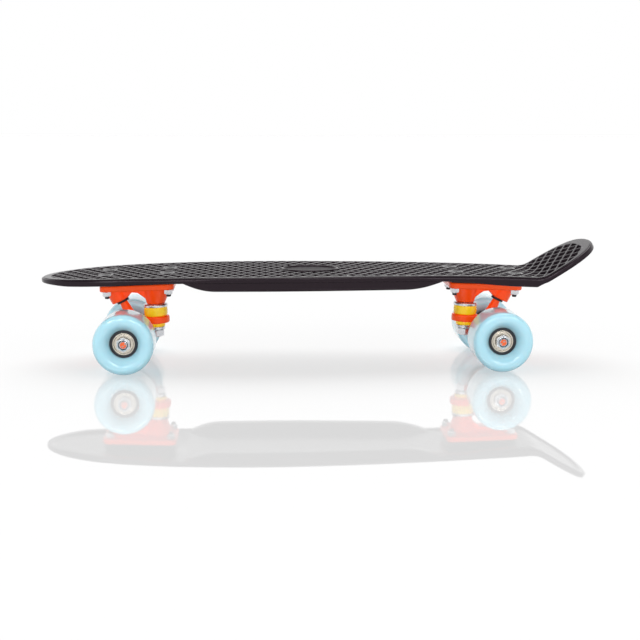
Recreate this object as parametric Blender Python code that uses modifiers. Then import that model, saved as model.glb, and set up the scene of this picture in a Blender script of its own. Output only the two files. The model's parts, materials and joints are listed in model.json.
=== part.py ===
"""A 22 inch moulded plastic cruiser skateboard, modelled at real size in metres.

The board stands on its wheels: +Z is up, the nose points to -X and the kicktail to +X.
x = 0 is the middle of the overall length and z = 0 is the ground.
"""

import math

import bmesh
import bpy
from mathutils import Matrix, Vector
from mathutils.geometry import interpolate_bezier

# Gap left between pieces that touch on the real board
FIT = 0.0003

# How far shapes that are joined run into each other, and how far a cutter runs past what it cuts
JOIN = 0.0012
OVERRUN = 0.003

# Layout along the board
WHEELBASE = 0.370
NOSE_OVERHANG = 0.0866
KICK_FROM_REAR_AXLE = 0.0425
TAIL_LENGTH = 0.0652
KICK_ANGLE = math.radians(31.0)
KICK_TOP_RADIUS = 0.025
KICK_UNDERSIDE_RADIUS = 0.004
CAMBER_DROP = 0.0021

# Deck plan, half of it, between the nose tip and the tail tip
DECK_WIDTH = 0.1406
WIDEST_FROM_FRONT_AXLE = 0.1433
SHOULDER_WIDTH = 0.1234
SHOULDER_FROM_TIP = 0.087
TAIL_WIDTH = 0.1054
NOSE_ROUNDNESS = 0.0345
TAIL_ROUNDNESS = 0.038

# Deck section, heights measured down from the tops of the waffle ribs
WAFFLE_HEIGHT = 0.0019
BORDER_WIDTH = 0.0095
BORDER_FALL = 0.0006
EDGE_ROUNDING = 0.0034
LIP_DEPTH_NOSE_TIP = 0.0050
LIP_DEPTH_FRONT = 0.0070
LIP_DEPTH_MIDDLE = 0.0056
LIP_DEPTH_REAR = 0.0097
LIP_DEPTH_TAIL = 0.0062
LIP_DEEPENS_BEFORE_REAR_AXLE = 0.060
LIP_DEEPEST_BEFORE_KICK = 0.022
LIP_THINS_BEFORE_KICK = 0.0065
LIP_THIN_PAST_KICK = 0.0005
LIP_WIDTH = 0.0070
LIP_CHAMFER = 0.0008
LIP_DRAFT = 0.0015
PANEL_THICKNESS = 0.0047
FRAME_RIB_WIDTH = 0.0016

# Waffle lattice: crossing ribs that leave diamonds, longer across the board
DIAMOND_LENGTH = 0.0121
DIAMOND_WIDTH = 0.0210
RIB_FOOT_WIDTH = 0.0042
RIB_TOP_DROP = 0.00005

# Smooth places in the waffle
BADGE_LENGTH = 0.058
BADGE_WIDTH = 0.048
BADGE_FROM_FRONT_AXLE = 0.1833
BADGE_RIM = 0.0022
BADGE_SINK = 0.0008
BOLT_PAD_DIAMETER = 0.0155

# Rails under the long edges
RAIL_FLAT_START = 0.0893
RAIL_FLAT_END = 0.2733
RAIL_FRONT_RAMP = 0.033
RAIL_REAR_RAMP = 0.0405
RAIL_DEPTH = 0.0143
RAIL_WIDTH = 0.0140
RAIL_EDGE_INSET = 0.0035
RAIL_EDGE_RADIUS = 0.0026

# Mounting pads under the deck
DECK_AT_TRUCK = 0.0112
PAD_INSET = 0.0016
PAD_CORNER = 0.007

# Wheels and bearings
WHEEL_DIAMETER = 0.059
WHEEL_WIDTH = 0.045
WHEEL_LIP_RADIUS = 0.0062
TRACK_OUTSIDE = 0.150
DISH_DEPTH = 0.0095
CORE_DIAMETER = 0.027
CORE_WEB_BORE = 0.016
CORE_RIM_OUTSIDE = 0.0006
CORE_RIM_INSIDE = 0.0004
BEARING_BEHIND_DISH = 0.0010
BEARING_DIAMETER = 0.022
BEARING_BORE = 0.0086
BEARING_WIDTH = 0.007
BEARING_SPACING = 0.010
OUTER_RACE_WALL = 0.0013
INNER_RACE_WALL = 0.0019
SHIELD_SINK = 0.0004

# Axle
AXLE_DIAMETER = 0.008
AXLE_STICKS_OUT = 0.0009
AXLE_NUT_ACROSS = 0.0127
AXLE_NUT_HEIGHT = 0.0048
AXLE_NUT_COLLAR_BOTTOM = 0.0104
AXLE_NUT_COLLAR_TOP = 0.0094
AXLE_TIP_CHAMFER = 0.0006
SPEED_WASHER_DIAMETER = 0.0112
SPEED_WASHER_THICKNESS = 0.0007

# Truck, in its own frame: origin on the axle, x outward to the board's end, z square to the baseplate
TRUCK_HEIGHT = 0.0517
PLATE_INNER_X = -0.0487
PLATE_LENGTH = 0.0740
PLATE_WIDTH = 0.056
PLATE_THICKNESS = 0.0056
PLATE_CORNER = 0.007
PLATE_EDGE_BEVEL = 0.0010
HOLE_FROM_INNER_END = 0.0060
HOLE_FROM_OUTER_END = 0.0070
HOLE_FROM_SIDE = 0.00735

KINGPIN_X = -0.0274
KINGPIN_DIAMETER = 0.0095
KINGPIN_HEAD_ACROSS = 0.0142
KINGPIN_HEAD_HEIGHT = 0.0058
KINGPIN_END_Z = -0.0051
KINGPIN_NUT_ACROSS = 0.0142
KINGPIN_NUT_HEIGHT = 0.0062
NUT_CHAMFER = 0.0005
KINGPIN_BOSS_BOTTOM_Z = 0.0294
KINGPIN_BOSS_BOTTOM_RADIUS = 0.00925
KINGPIN_BOSS_TOP_RADIUS = 0.0158
KINGPIN_BOSS_LEAN = 0.0024
KINGPIN_BOSS_SHIFT = 0.0005

PIVOT_BALL_X = 0.0063
PIVOT_BALL_Z = 0.0359
PIVOT_LEAN = math.radians(24.6)
PIVOT_BALL_RADIUS = 0.0038
PIVOT_BOSS_RADIUS = 0.0092
PIVOT_FACE_FROM_BALL = 0.0019
PIVOT_BOSS_SHIFT = 0.0019
CUP_RADIUS = 0.0060
CUP_RIM_RADIUS = 0.0064
CUP_RIM_THICKNESS = 0.0020
CUP_DEPTH_BEHIND_BALL = 0.0062
CUP_MOUTH_RADIUS = 0.0050

# Web between the two bosses: its thickness, and its arch measured from the pivot boss's inner edge
WEB_THICKNESS = 0.013
WEB_KINGPIN_HEIGHT = 0.0059
WEB_ARCH_INNER = (0.0094, 0.0040)
WEB_ARCH_OUTER = (0.0036, 0.0048)
WEB_TOE = 0.0048
WEB_INNER_END = (0.0040, 0.0065)

RING_Z = 0.0132
RING_THICKNESS = 0.0070
RING_RADIUS = 0.0137
RING_BORE_RADIUS = 0.0066
RING_SEAT_DEPTH = 0.0014
UPPER_SEAT_RADIUS = 0.0100
LOWER_SEAT_RADIUS = 0.0076
RING_EDGE = 0.0008

UPPER_BUSHING_RADIUS = 0.0119
LOWER_BUSHING_RADIUS = 0.0090
LOWER_BUSHING_HEIGHT = 0.0040
WASHER_SHEET = 0.0013
UPPER_WASHER_RADIUS = 0.0123
UPPER_WASHER_SKIRT = 0.0031
LOWER_WASHER_RADIUS = 0.00875
LOWER_WASHER_HEIGHT = 0.0031
WASHER_EDGE = 0.0010
BUSHING_EDGE = 0.0004
BUSHING_BULGE_HEIGHT = 0.0012
BUSHING_NECK = 0.0012

# Hanger casting; shares of the beam are of its half length
BEAM_END_RADIUS = 0.0068
BEAM_MIDDLE_RADIUS = 0.0098
BEAM_SWELL_END = 0.30
BEAM_SWELL_START = 0.76
STEM_RADIUS_LOW = 0.0072
STEM_NECK = 0.0050
STEM_FLARE = 0.0140
NECK_AT_RING = 0.80
NECK_WIDTH_AT_RING = 0.0154
NECK_WIDTH_AT_BEAM = 0.0370
NECK_BOTTOM_AT_BEAM = -0.0054
NECK_TOP_AT_BEAM = 0.0078
NECK_CORNER = 0.0016
NECK_FLAT = 0.78
GUSSET_TOP_REACH = 0.82
GUSSET_LOW_REACH = 0.86
GUSSET_SHOULDER = 0.62
GUSSET_SHOULDER_HALF = 0.0042
GUSSET_FOOT_THICKNESS = 0.0084
GUSSET_TOP_THICKNESS = 0.0060
GUSSET_MIDDLE_THICKNESS = 0.0100

# Deck bolts
BOLT_DIAMETER = 0.005
BOLT_HEAD_DIAMETER = 0.0098
BOLT_HEAD_HEIGHT = 0.0029
BOLT_HEAD_SINK = 0.0002
BOLT_STICKS_OUT = 0.0021
BOLT_NUT_ACROSS = 0.0080
BOLT_NUT_HEIGHT = 0.0048

# Facets
ROUND_SMALL = 8
ROUND_COARSE = 12
ROUND_FINE = 16
TYRE_STEPS = 28
BADGE_STEPS = 24

# Values that follow from the ones above
TILT = math.atan(3 * CAMBER_DROP / (WHEELBASE / 2))
WHEEL_RADIUS = WHEEL_DIAMETER / 2
NOSE_SLOPE = math.atan(3 * CAMBER_DROP / (WHEELBASE / 2) * (1 + 2 * NOSE_OVERHANG / WHEELBASE) ** 2)
NOSE_TUCK = (LIP_DEPTH_NOSE_TIP - LIP_CHAMFER) * math.sin(NOSE_SLOPE)
TAIL_REACH = (TAIL_LENGTH * math.cos(KICK_ANGLE)
              + (LIP_DEPTH_TAIL - LIP_CHAMFER) * math.sin(KICK_ANGLE))
OVERALL_LENGTH = NOSE_OVERHANG - NOSE_TUCK + WHEELBASE + KICK_FROM_REAR_AXLE + TAIL_REACH
NOSE_X = -OVERALL_LENGTH / 2 - NOSE_TUCK
FRONT_AXLE_X = NOSE_X + NOSE_OVERHANG
REAR_AXLE_X = FRONT_AXLE_X + WHEELBASE
MIDDLE_X = FRONT_AXLE_X + WHEELBASE / 2
KICK_X = REAR_AXLE_X + KICK_FROM_REAR_AXLE
TAIL_X = KICK_X + TAIL_LENGTH
PAD_PLANE_Z = WHEEL_RADIUS + TRUCK_HEIGHT / math.cos(TILT)
DECK_TOP_Z = PAD_PLANE_Z + DECK_AT_TRUCK / math.cos(TILT) + CAMBER_DROP
PLATE_BOTTOM_Z = TRUCK_HEIGHT - PLATE_THICKNESS - FIT
PLATE_TOP_Z = TRUCK_HEIGHT - FIT
PLATE_MIDDLE_X = PLATE_INNER_X + PLATE_LENGTH / 2
BOLT_XS = (PLATE_INNER_X + HOLE_FROM_INNER_END, PLATE_INNER_X + PLATE_LENGTH - HOLE_FROM_OUTER_END)
BOLT_YS = (HOLE_FROM_SIDE - PLATE_WIDTH / 2, PLATE_WIDTH / 2 - HOLE_FROM_SIDE)
OUTER_BEARING_FACE = TRACK_OUTSIDE / 2 - DISH_DEPTH - BEARING_BEHIND_DISH
INNER_BEARING_FACE = OUTER_BEARING_FACE - 2 * BEARING_WIDTH - BEARING_SPACING
BEAM_HALF_LENGTH = INNER_BEARING_FACE - FIT - SPEED_WASHER_THICKNESS
BADGE_X = FRONT_AXLE_X + BADGE_FROM_FRONT_AXLE
RAIL_START_X = FRONT_AXLE_X + RAIL_FLAT_START
RAIL_END_X = FRONT_AXLE_X + RAIL_FLAT_END
TRUCKS = (("front", FRONT_AXLE_X, -1), ("rear", REAR_AXLE_X, 1))
PIVOT_BALL = Vector((PIVOT_BALL_X, 0, PIVOT_BALL_Z))
PIVOT_DOWN = Vector((-math.sin(PIVOT_LEAN), 0, -math.cos(PIVOT_LEAN)))
RING_CENTRE = Vector((KINGPIN_X, 0, RING_Z))

MODEL = "plastic_skateboard"


def clear_scene():
    for obj in list(bpy.data.objects):
        bpy.data.objects.remove(obj)


def make_collection(name):
    collection = bpy.data.collections.new(name)
    bpy.context.scene.collection.children.link(collection)
    return collection


def material(name, colour, roughness, metallic=0.0):
    result = bpy.data.materials.new(name)
    result.use_nodes = True
    shader = result.node_tree.nodes["Principled BSDF"]
    shader.inputs["Base Color"].default_value = (*colour, 1.0)
    shader.inputs["Roughness"].default_value = roughness
    shader.inputs["Metallic"].default_value = metallic
    result.diffuse_color = (*colour, 1.0)
    return result


def mesh_from(bm, name):
    bmesh.ops.recalc_face_normals(bm, faces=bm.faces)
    mesh = bpy.data.meshes.new(name)
    bm.to_mesh(mesh)
    bm.free()
    return mesh


def place(name, mesh, finish=None, parent=None, matrix=None):
    """Put a mesh in the model as a named sub-part."""
    obj = bpy.data.objects.new(name, mesh)
    PARTS.objects.link(obj)
    if finish and not mesh.materials:
        mesh.materials.append(finish)
    if parent:
        obj.parent = parent
    if matrix:
        obj.matrix_local = matrix
    return obj


def place_tool(name, mesh, parent=None, matrix=None):
    """Put a mesh in the model as a cutter or an adder, which is not a sub-part itself."""
    obj = bpy.data.objects.new(name, mesh)
    TOOLS.objects.link(obj)
    obj.display_type = "WIRE"
    obj.hide_render = True
    if parent:
        obj.parent = parent
    if matrix:
        obj.matrix_local = matrix
    return obj


def empty(name, parent=None, matrix=None):
    obj = bpy.data.objects.new(name, None)
    PARTS.objects.link(obj)
    obj.empty_display_size = 0.01
    if parent:
        obj.parent = parent
    if matrix:
        obj.matrix_local = matrix
    return obj


def combine(obj, tool, operation):
    modifier = obj.modifiers.new(tool.name, "BOOLEAN")
    modifier.operation = operation
    modifier.solver = "EXACT"
    modifier.object = tool


def evaluated(obj, name):
    """The object's mesh with its modifiers worked out, in its own frame."""
    bpy.context.view_layer.update()
    graph = bpy.context.evaluated_depsgraph_get()
    mesh = bpy.data.meshes.new_from_object(obj.evaluated_get(graph))
    mesh.name = name
    return mesh


def shade(mesh, degrees=35):
    mesh.shade_smooth()
    mesh.set_sharp_from_angle(angle=math.radians(degrees))


def turned_mesh(name, profile, steps=ROUND_FINE, closed=True):
    """Turn a profile of (radius, height) points about z; it runs down its outer side."""
    mesh = bpy.data.meshes.new(name + "_profile")
    points = [(radius, 0, height) for radius, height in profile]
    edges = [(i, i + 1) for i in range(len(points) - 1)]
    if closed:
        edges.append((len(points) - 1, 0))
    mesh.from_pydata(points, edges, [])
    holder = bpy.data.objects.new(name + "_profile", mesh)
    TOOLS.objects.link(holder)
    screw = holder.modifiers.new("Turn", "SCREW")
    screw.steps = steps
    screw.render_steps = steps
    screw.use_merge_vertices = True
    screw.merge_threshold = 0.00001
    result = evaluated(holder, name)
    bpy.data.objects.remove(holder)
    return result


def rod_mesh(name, radius, bottom, top, steps=ROUND_COARSE, top_radius=None):
    bm = bmesh.new()
    top_radius = radius if top_radius is None else top_radius
    bmesh.ops.create_cone(bm, cap_ends=True, segments=steps, radius1=radius, radius2=top_radius,
                          depth=top - bottom,
                          matrix=Matrix.Translation((0, 0, (top + bottom) / 2)))
    return mesh_from(bm, name)


def hex_mesh(name, across, bottom, top, bevel=0.0, bore=0.0, bore_steps=ROUND_SMALL):
    """A hexagonal prism, with its corners chamfered and a bore if asked for."""
    bm = bmesh.new()
    radius = across / 2 / math.cos(math.pi / 6)
    bmesh.ops.create_cone(bm, cap_ends=True, segments=6, radius1=radius, radius2=radius, depth=top - bottom,
                          matrix=Matrix.Translation((0, 0, (top + bottom) / 2)))
    if bevel:
        rims = [e for e in bm.edges if abs(e.verts[0].co.z - e.verts[1].co.z) < 1e-7]
        bmesh.ops.bevel(bm, geom=rims, offset=bevel, segments=1, affect="EDGES", profile=0.5)
    mesh = mesh_from(bm, name)
    if not bore:
        return mesh
    blank = bpy.data.objects.new(name + "_blank", mesh)
    TOOLS.objects.link(blank)
    drill = place_tool(name + "_drill", rod_mesh(
        name + "_drill", bore / 2, bottom - OVERRUN, top + OVERRUN, bore_steps))
    combine(blank, drill, "DIFFERENCE")
    result = evaluated(blank, name)
    bpy.data.objects.remove(blank)
    bpy.data.objects.remove(drill)
    return result


def rounded_block_mesh(name, length, width, bottom, top, corner, bevel=0.0, centre=(0, 0)):
    """A flat block with round corners in plan and chamfered rims."""
    bm = bmesh.new()
    size = Matrix.Diagonal((length, width, top - bottom, 1))
    shift = Matrix.Translation((centre[0], centre[1], (top + bottom) / 2))
    bmesh.ops.create_cube(bm, size=1, matrix=shift @ size)
    uprights = [e for e in bm.edges if abs(e.verts[0].co.z - e.verts[1].co.z) > (top - bottom) / 2]
    bmesh.ops.bevel(bm, geom=uprights, offset=corner, segments=5, affect="EDGES", profile=0.5)
    if bevel:
        rims = [e for e in bm.edges if abs(e.verts[0].co.z - e.verts[1].co.z) < 1e-7]
        bmesh.ops.bevel(bm, geom=rims, offset=bevel, segments=1, affect="EDGES", profile=0.5)
    return mesh_from(bm, name)


def extruded_mesh(name, outline, half_width):
    """A side outline of (x, z) points carried across the board."""
    bm = bmesh.new()
    near = [bm.verts.new((x, -half_width, z)) for x, z in outline]
    face = bm.faces.new(near)
    moved = bmesh.ops.extrude_face_region(bm, geom=[face])["geom"]
    verts = [v for v in moved if isinstance(v, bmesh.types.BMVert)]
    bmesh.ops.translate(bm, verts=verts, vec=(0, 2 * half_width, 0))
    return mesh_from(bm, name)


def close_hull(bm):
    """Wrap loose points in their convex hull and drop the ones left inside."""
    result = bmesh.ops.convex_hull(bm, input=bm.verts)
    inside = [g for g in result["geom_interior"] + result["geom_unused"] if isinstance(g, bmesh.types.BMVert)]
    bmesh.ops.delete(bm, geom=list(set(inside)), context="VERTS")


def along(direction, origin=Vector((0, 0, 0))):
    """Frame whose z axis follows a direction that lies in the xz plane."""
    z_axis = direction.normalized()
    y_axis = Vector((0, 1, 0))
    x_axis = y_axis.cross(z_axis)
    rotation = Matrix((x_axis, y_axis, z_axis)).transposed().to_4x4()
    return Matrix.Translation(origin) @ rotation


# Deck

def camber_height(s):
    return DECK_TOP_Z - CAMBER_DROP * (abs(s - MIDDLE_X) / (WHEELBASE / 2)) ** 3


def camber_slope(s):
    run = (s - MIDDLE_X) / (WHEELBASE / 2)
    return math.atan(-3 * CAMBER_DROP / (WHEELBASE / 2) * run * abs(run))


def on_deck(s, y, h):
    """Carry a point of the flat deck, h above the rib tops, to its place on the bent deck."""
    start = camber_slope(KICK_X)
    turn = KICK_ANGLE - start
    depth = min(1, max(0, -h / LIP_DEPTH_REAR))
    radius = KICK_TOP_RADIUS + (KICK_UNDERSIDE_RADIUS - KICK_TOP_RADIUS) * depth
    reach = radius * math.tan(turn / 2)
    past = s - KICK_X
    kink = Vector((KICK_X, camber_height(KICK_X)))
    if past <= -reach:
        angle = camber_slope(s)
        base = Vector((s, camber_height(s)))
    elif past >= reach:
        angle = KICK_ANGLE
        base = kink + past * Vector((math.cos(angle), math.sin(angle)))
    else:
        angle = start + turn * (past + reach) / (2 * reach)
        before = kink - reach * Vector((math.cos(start), math.sin(start)))
        centre = before + radius * Vector((-math.sin(start), math.cos(start)))
        base = centre + radius * Vector((math.sin(angle), -math.cos(angle)))
    return Vector((base.x - h * math.sin(angle), y, base.y + h * math.cos(angle)))


def half_outline():
    """Half of the deck's plan, from the nose tip round the +y side to the tail tip."""
    half = DECK_WIDTH / 2
    shoulder_half = SHOULDER_WIDTH / 2
    tail_half = TAIL_WIDTH / 2
    shoulder_x = NOSE_X + SHOULDER_FROM_TIP
    widest_x = FRONT_AXLE_X + WIDEST_FROM_FRONT_AXLE
    nose_to_shoulder = (
        (NOSE_X, 0), (NOSE_X, NOSE_ROUNDNESS),
        (shoulder_x - 0.54 * SHOULDER_FROM_TIP, 0.905 * shoulder_half), (shoulder_x, shoulder_half))
    to_widest = widest_x - shoulder_x
    shoulder_to_widest = (
        (shoulder_x, shoulder_half), (shoulder_x + 0.32 * to_widest, shoulder_half + 0.78 * (half - shoulder_half)),
        (widest_x - 0.32 * to_widest, half), (widest_x, half))
    to_kick = KICK_X - widest_x
    widest_to_kick = (
        (widest_x, half), (widest_x + 0.25 * to_kick, half),
        (KICK_X - 0.36 * to_kick, 1.06 * tail_half), (KICK_X, tail_half))
    kick_to_tip = (
        (KICK_X, tail_half), (KICK_X + 0.76 * TAIL_LENGTH, 1.03 * tail_half),
        (TAIL_X, TAIL_ROUNDNESS), (TAIL_X, 0))
    points = []
    for segment, count in ((nose_to_shoulder, 10), (shoulder_to_widest, 4), (widest_to_kick, 6), (kick_to_tip, 10)):
        stretch = interpolate_bezier(*[Vector((x, y, 0)) for x, y in segment], count)
        points += stretch if not points else stretch[1:]
    return [Vector((p.x, p.y)) for p in points]


def inset(outline, distance):
    """Move a half outline inward by a distance, keeping its ends on the centre line."""
    moved = []
    for i, point in enumerate(outline):
        before = outline[i - 1] if i > 0 else Vector((point.x, -outline[1].y))
        after = outline[i + 1] if i < len(outline) - 1 else Vector((point.x, -outline[-2].y))
        run = (after - before).normalized()
        moved.append(point + distance * Vector((run.y, -run.x)))
    moved[0].y = 0
    moved[-1].y = 0
    return moved


def eased(start, end, x):
    """Rise from 0 to 1 between two places, level at both of them."""
    part = min(1, max(0, (x - start) / (end - start)))
    return part * part * (3 - 2 * part)


def lip_depth(s):
    """The lip is shallow between the trucks, deeper near them and thinner again at both tips."""
    depth = LIP_DEPTH_NOSE_TIP
    depth += (LIP_DEPTH_FRONT - depth) * eased(NOSE_X, NOSE_X + 0.4 * NOSE_OVERHANG, s)
    depth += (LIP_DEPTH_MIDDLE - depth) * eased(FRONT_AXLE_X - 0.4 * NOSE_OVERHANG,
                                                FRONT_AXLE_X + 0.5 * NOSE_OVERHANG, s)
    depth += (LIP_DEPTH_REAR - depth) * eased(REAR_AXLE_X - LIP_DEEPENS_BEFORE_REAR_AXLE,
                                              KICK_X - LIP_DEEPEST_BEFORE_KICK, s)
    depth += (LIP_DEPTH_TAIL - depth) * eased(KICK_X - LIP_THINS_BEFORE_KICK, KICK_X + LIP_THIN_PAST_KICK, s)
    return depth


def deck_sections():
    """Rings round the deck as (inset from the outline, height), from the plateau to the underside panel.

    The lip has its deepest size here, all the way round.
    """
    edge_top = -WAFFLE_HEIGHT - BORDER_FALL
    corner = EDGE_ROUNDING * (1 - math.sqrt(0.5))
    return (
        (BORDER_WIDTH, 0),
        (BORDER_WIDTH, -WAFFLE_HEIGHT),
        (EDGE_ROUNDING, edge_top),
        (corner, edge_top - corner),
        (0, -LIP_DEPTH_REAR + LIP_CHAMFER),
        (LIP_CHAMFER, -LIP_DEPTH_REAR),
        (LIP_WIDTH, -LIP_DEPTH_REAR),
        (LIP_WIDTH + LIP_DRAFT, -PANEL_THICKNESS),
    )


def flat_deck_mesh():
    """The deck without its pits, laid flat: half of it lofted ring by ring and mirrored."""
    outline = half_outline()
    bm = bmesh.new()
    rings = [(inset(outline, distance), height) for distance, height in deck_sections()]
    top_ring, top_height = rings[0]
    bottom_ring, bottom_height = rings[-1]
    rows = [[bm.verts.new((p.x, 0, top_height)) for p in top_ring]]
    for ring, height in rings:
        rows.append([bm.verts.new((p.x, p.y, height)) for p in ring])
    rows.append([bm.verts.new((p.x, 0, bottom_height)) for p in bottom_ring])
    for upper, lower in zip(rows, rows[1:]):
        for i in range(len(outline) - 1):
            bm.faces.new((upper[i], upper[i + 1], lower[i + 1], lower[i]))
    bmesh.ops.remove_doubles(bm, verts=bm.verts, dist=0.00002)
    mirrored = bmesh.ops.duplicate(bm, geom=list(bm.verts) + list(bm.edges) + list(bm.faces))["geom"]
    new_verts = [v for v in mirrored if isinstance(v, bmesh.types.BMVert)]
    new_faces = [f for f in mirrored if isinstance(f, bmesh.types.BMFace)]
    bmesh.ops.scale(bm, vec=(1, -1, 1), verts=new_verts)
    bmesh.ops.reverse_faces(bm, faces=new_faces)
    bmesh.ops.remove_doubles(bm, verts=bm.verts, dist=0.00002)
    reach = KICK_TOP_RADIUS * math.tan((KICK_ANGLE - camber_slope(KICK_X)) / 2)
    low_reach = KICK_UNDERSIDE_RADIUS * math.tan((KICK_ANGLE - camber_slope(KICK_X)) / 2)
    for station in (-reach, -0.45 * reach, -low_reach, low_reach, 0.5 * reach, reach):
        bmesh.ops.bisect_plane(bm, geom=list(bm.verts) + list(bm.edges) + list(bm.faces),
                               plane_co=(KICK_X + station, 0, 0), plane_no=(1, 0, 0), dist=0.0002)
    for vert in bm.verts:
        if vert.co.z < -PANEL_THICKNESS - 0.00001:
            vert.co.z += LIP_DEPTH_REAR - lip_depth(vert.co.x)
    return mesh_from(bm, "deck_flat")


def prism_mesh(name, half_points, bottom, top):
    """A closed prism over a half outline and its mirror image."""
    bm = bmesh.new()
    other = [Vector((p.x, -p.y)) for p in reversed(half_points[1:-1])]
    face = bm.faces.new([bm.verts.new((p.x, p.y, bottom)) for p in half_points + other])
    moved = bmesh.ops.extrude_face_region(bm, geom=[face])["geom"]
    verts = [v for v in moved if isinstance(v, bmesh.types.BMVert)]
    bmesh.ops.translate(bm, verts=verts, vec=(0, 0, top - bottom))
    return mesh_from(bm, name)


def lattice_mesh(top):
    """The air over the waffle: a slab whose underside hangs down in a flat-floored pit for each diamond."""
    bm = bmesh.new()
    side = 2 * math.ceil((TAIL_X - NOSE_X) / DIAMOND_LENGTH + 2)
    skew = Matrix(((DIAMOND_LENGTH / 2, DIAMOND_LENGTH / 2, 0, 0),
                   (DIAMOND_WIDTH / 2, -DIAMOND_WIDTH / 2, 0, 0),
                   (0, 0, 1, -RIB_TOP_DROP), (0, 0, 0, 1)))
    bmesh.ops.create_grid(bm, x_segments=side, y_segments=side, size=side / 2)
    bmesh.ops.transform(bm, matrix=skew, verts=bm.verts)
    middle = (NOSE_X + TAIL_X) / 2
    far = [f for f in bm.faces if abs(f.calc_center_median().y) > (DECK_WIDTH + DIAMOND_WIDTH) / 2
           or abs(f.calc_center_median().x - middle) > (TAIL_X - NOSE_X) / 2 + DIAMOND_LENGTH]
    bmesh.ops.delete(bm, geom=far, context="FACES")
    bmesh.ops.recalc_face_normals(bm, faces=bm.faces)
    moved = bmesh.ops.extrude_face_region(bm, geom=list(bm.faces), use_keep_orig=True)["geom"]
    raised = [v for v in moved if isinstance(v, bmesh.types.BMVert)]
    bmesh.ops.translate(bm, verts=raised, vec=(0, 0, top + RIB_TOP_DROP))
    bmesh.ops.recalc_face_normals(bm, faces=bm.faces)
    floors = [f for f in bm.faces if f.normal.z < -0.5]
    bmesh.ops.inset_individual(bm, faces=floors, thickness=RIB_FOOT_WIDTH / 2)
    for face in floors:
        for vert in face.verts:
            vert.co.z = -WAFFLE_HEIGHT
    return mesh_from(bm, "waffle_air")


def bolt_places():
    """Deck bolts on the flat deck, as (x, y) of the axis where it crosses the rib tops."""
    reach = TRUCK_HEIGHT + DECK_AT_TRUCK
    places = []
    for _, axle_x, outward in TRUCKS:
        for x in BOLT_XS:
            local = x * math.cos(TILT) + reach * math.sin(TILT)
            places += [(axle_x + outward * local, y) for y in BOLT_YS]
    return places


def pits_tool():
    """Everything that is cut away between the waffle ribs."""
    low = -WAFFLE_HEIGHT - 2 * OVERRUN
    high = 2 * OVERRUN
    air = place_tool("waffle_air", lattice_mesh(high))
    zone = inset(half_outline(), BORDER_WIDTH + FRAME_RIB_WIDTH)
    bounds = place_tool("waffle_zone", prism_mesh("waffle_zone", zone, low, OVERRUN))
    combine(air, bounds, "INTERSECT")
    badge = rod_mesh("badge_boss", 1, low, high, steps=BADGE_STEPS)
    badge.transform(Matrix.Diagonal((BADGE_LENGTH / 2, BADGE_WIDTH / 2, 1, 1)))
    boss = place_tool("badge_boss", badge, matrix=Matrix.Translation((BADGE_X, 0, 0)))
    combine(air, boss, "DIFFERENCE")
    for i, (x, y) in enumerate(bolt_places()):
        mesh = rod_mesh("bolt_boss", BOLT_PAD_DIAMETER / 2, low, high, steps=ROUND_COARSE)
        pad = place_tool("bolt_boss_%d" % i, mesh, matrix=Matrix.Translation((x, y, 0)))
        combine(air, pad, "DIFFERENCE")
    return place_tool("waffle_pits", evaluated(air, "waffle_pits"))


def badge_tool():
    """The shallow floor inside the badge's rim, with the badge left bare."""
    mesh = rod_mesh("badge_floor", 1, -BADGE_SINK, OVERRUN, steps=BADGE_STEPS)
    mesh.transform(Matrix.Diagonal((BADGE_LENGTH / 2 - BADGE_RIM, BADGE_WIDTH / 2 - BADGE_RIM, 1, 1)))
    return place_tool("badge_floor", mesh, matrix=Matrix.Translation((BADGE_X, 0, 0)))


def bend_deck(mesh):
    bm = bmesh.new()
    bm.from_mesh(mesh)
    bmesh.ops.triangulate(bm, faces=[f for f in bm.faces if len(f.verts) > 4])
    for vert in bm.verts:
        vert.co = on_deck(*vert.co)
    bm.to_mesh(mesh)
    bm.free()


def half_width_at(x):
    """Half width of the deck at a place between its shoulder and its kick."""
    outline = half_outline()
    for before, after in zip(outline, outline[1:]):
        if before.x <= x <= after.x:
            part = (x - before.x) / (after.x - before.x)
            return before.y + part * (after.y - before.y)
    return outline[-1].y


def rail_bottom(x):
    """Underside of a rail: straight, with a ramp like a ski tip at each end that runs out in the panel."""
    bottom = DECK_TOP_Z - RAIL_DEPTH
    for start, ramp in ((RAIL_START_X, -RAIL_FRONT_RAMP), (RAIL_END_X, RAIL_REAR_RAMP)):
        past = (x - start) / ramp
        if past > 0:
            panel = camber_height(start + ramp) - PANEL_THICKNESS
            return bottom + (panel - bottom) * past ** 2
    return bottom


def rail_mesh(side):
    """One rail, lofted from sections that follow the deck's edge."""
    stations = [RAIL_START_X - RAIL_FRONT_RAMP * t for t in (1, 0.75, 0.5, 0.25)]
    stations += [RAIL_START_X + (RAIL_END_X - RAIL_START_X) * t for t in (0, 0.33, 0.67, 1)]
    stations += [RAIL_END_X + RAIL_REAR_RAMP * t for t in (0.25, 0.5, 0.75, 1)]
    bm = bmesh.new()
    rings = []
    for x in stations:
        outer = half_width_at(x) - RAIL_EDGE_INSET
        inner = outer - RAIL_WIDTH
        low = rail_bottom(x)
        high = camber_height(x) - PANEL_THICKNESS + JOIN
        step = min(RAIL_EDGE_RADIUS, (high - low) * 0.45)
        section = ((outer, high), (outer, low + step), (outer - step, low),
                   (inner + step, low), (inner, low + step), (inner, high))
        rings.append([bm.verts.new((x, side * y, z)) for y, z in section])
    for before, after in zip(rings, rings[1:]):
        for i in range(len(before)):
            j = (i + 1) % len(before)
            bm.faces.new((before[i], before[j], after[j], after[i]))
    bm.faces.new(rings[0])
    bm.faces.new(list(reversed(rings[-1])))
    return mesh_from(bm, "rail")


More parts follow.
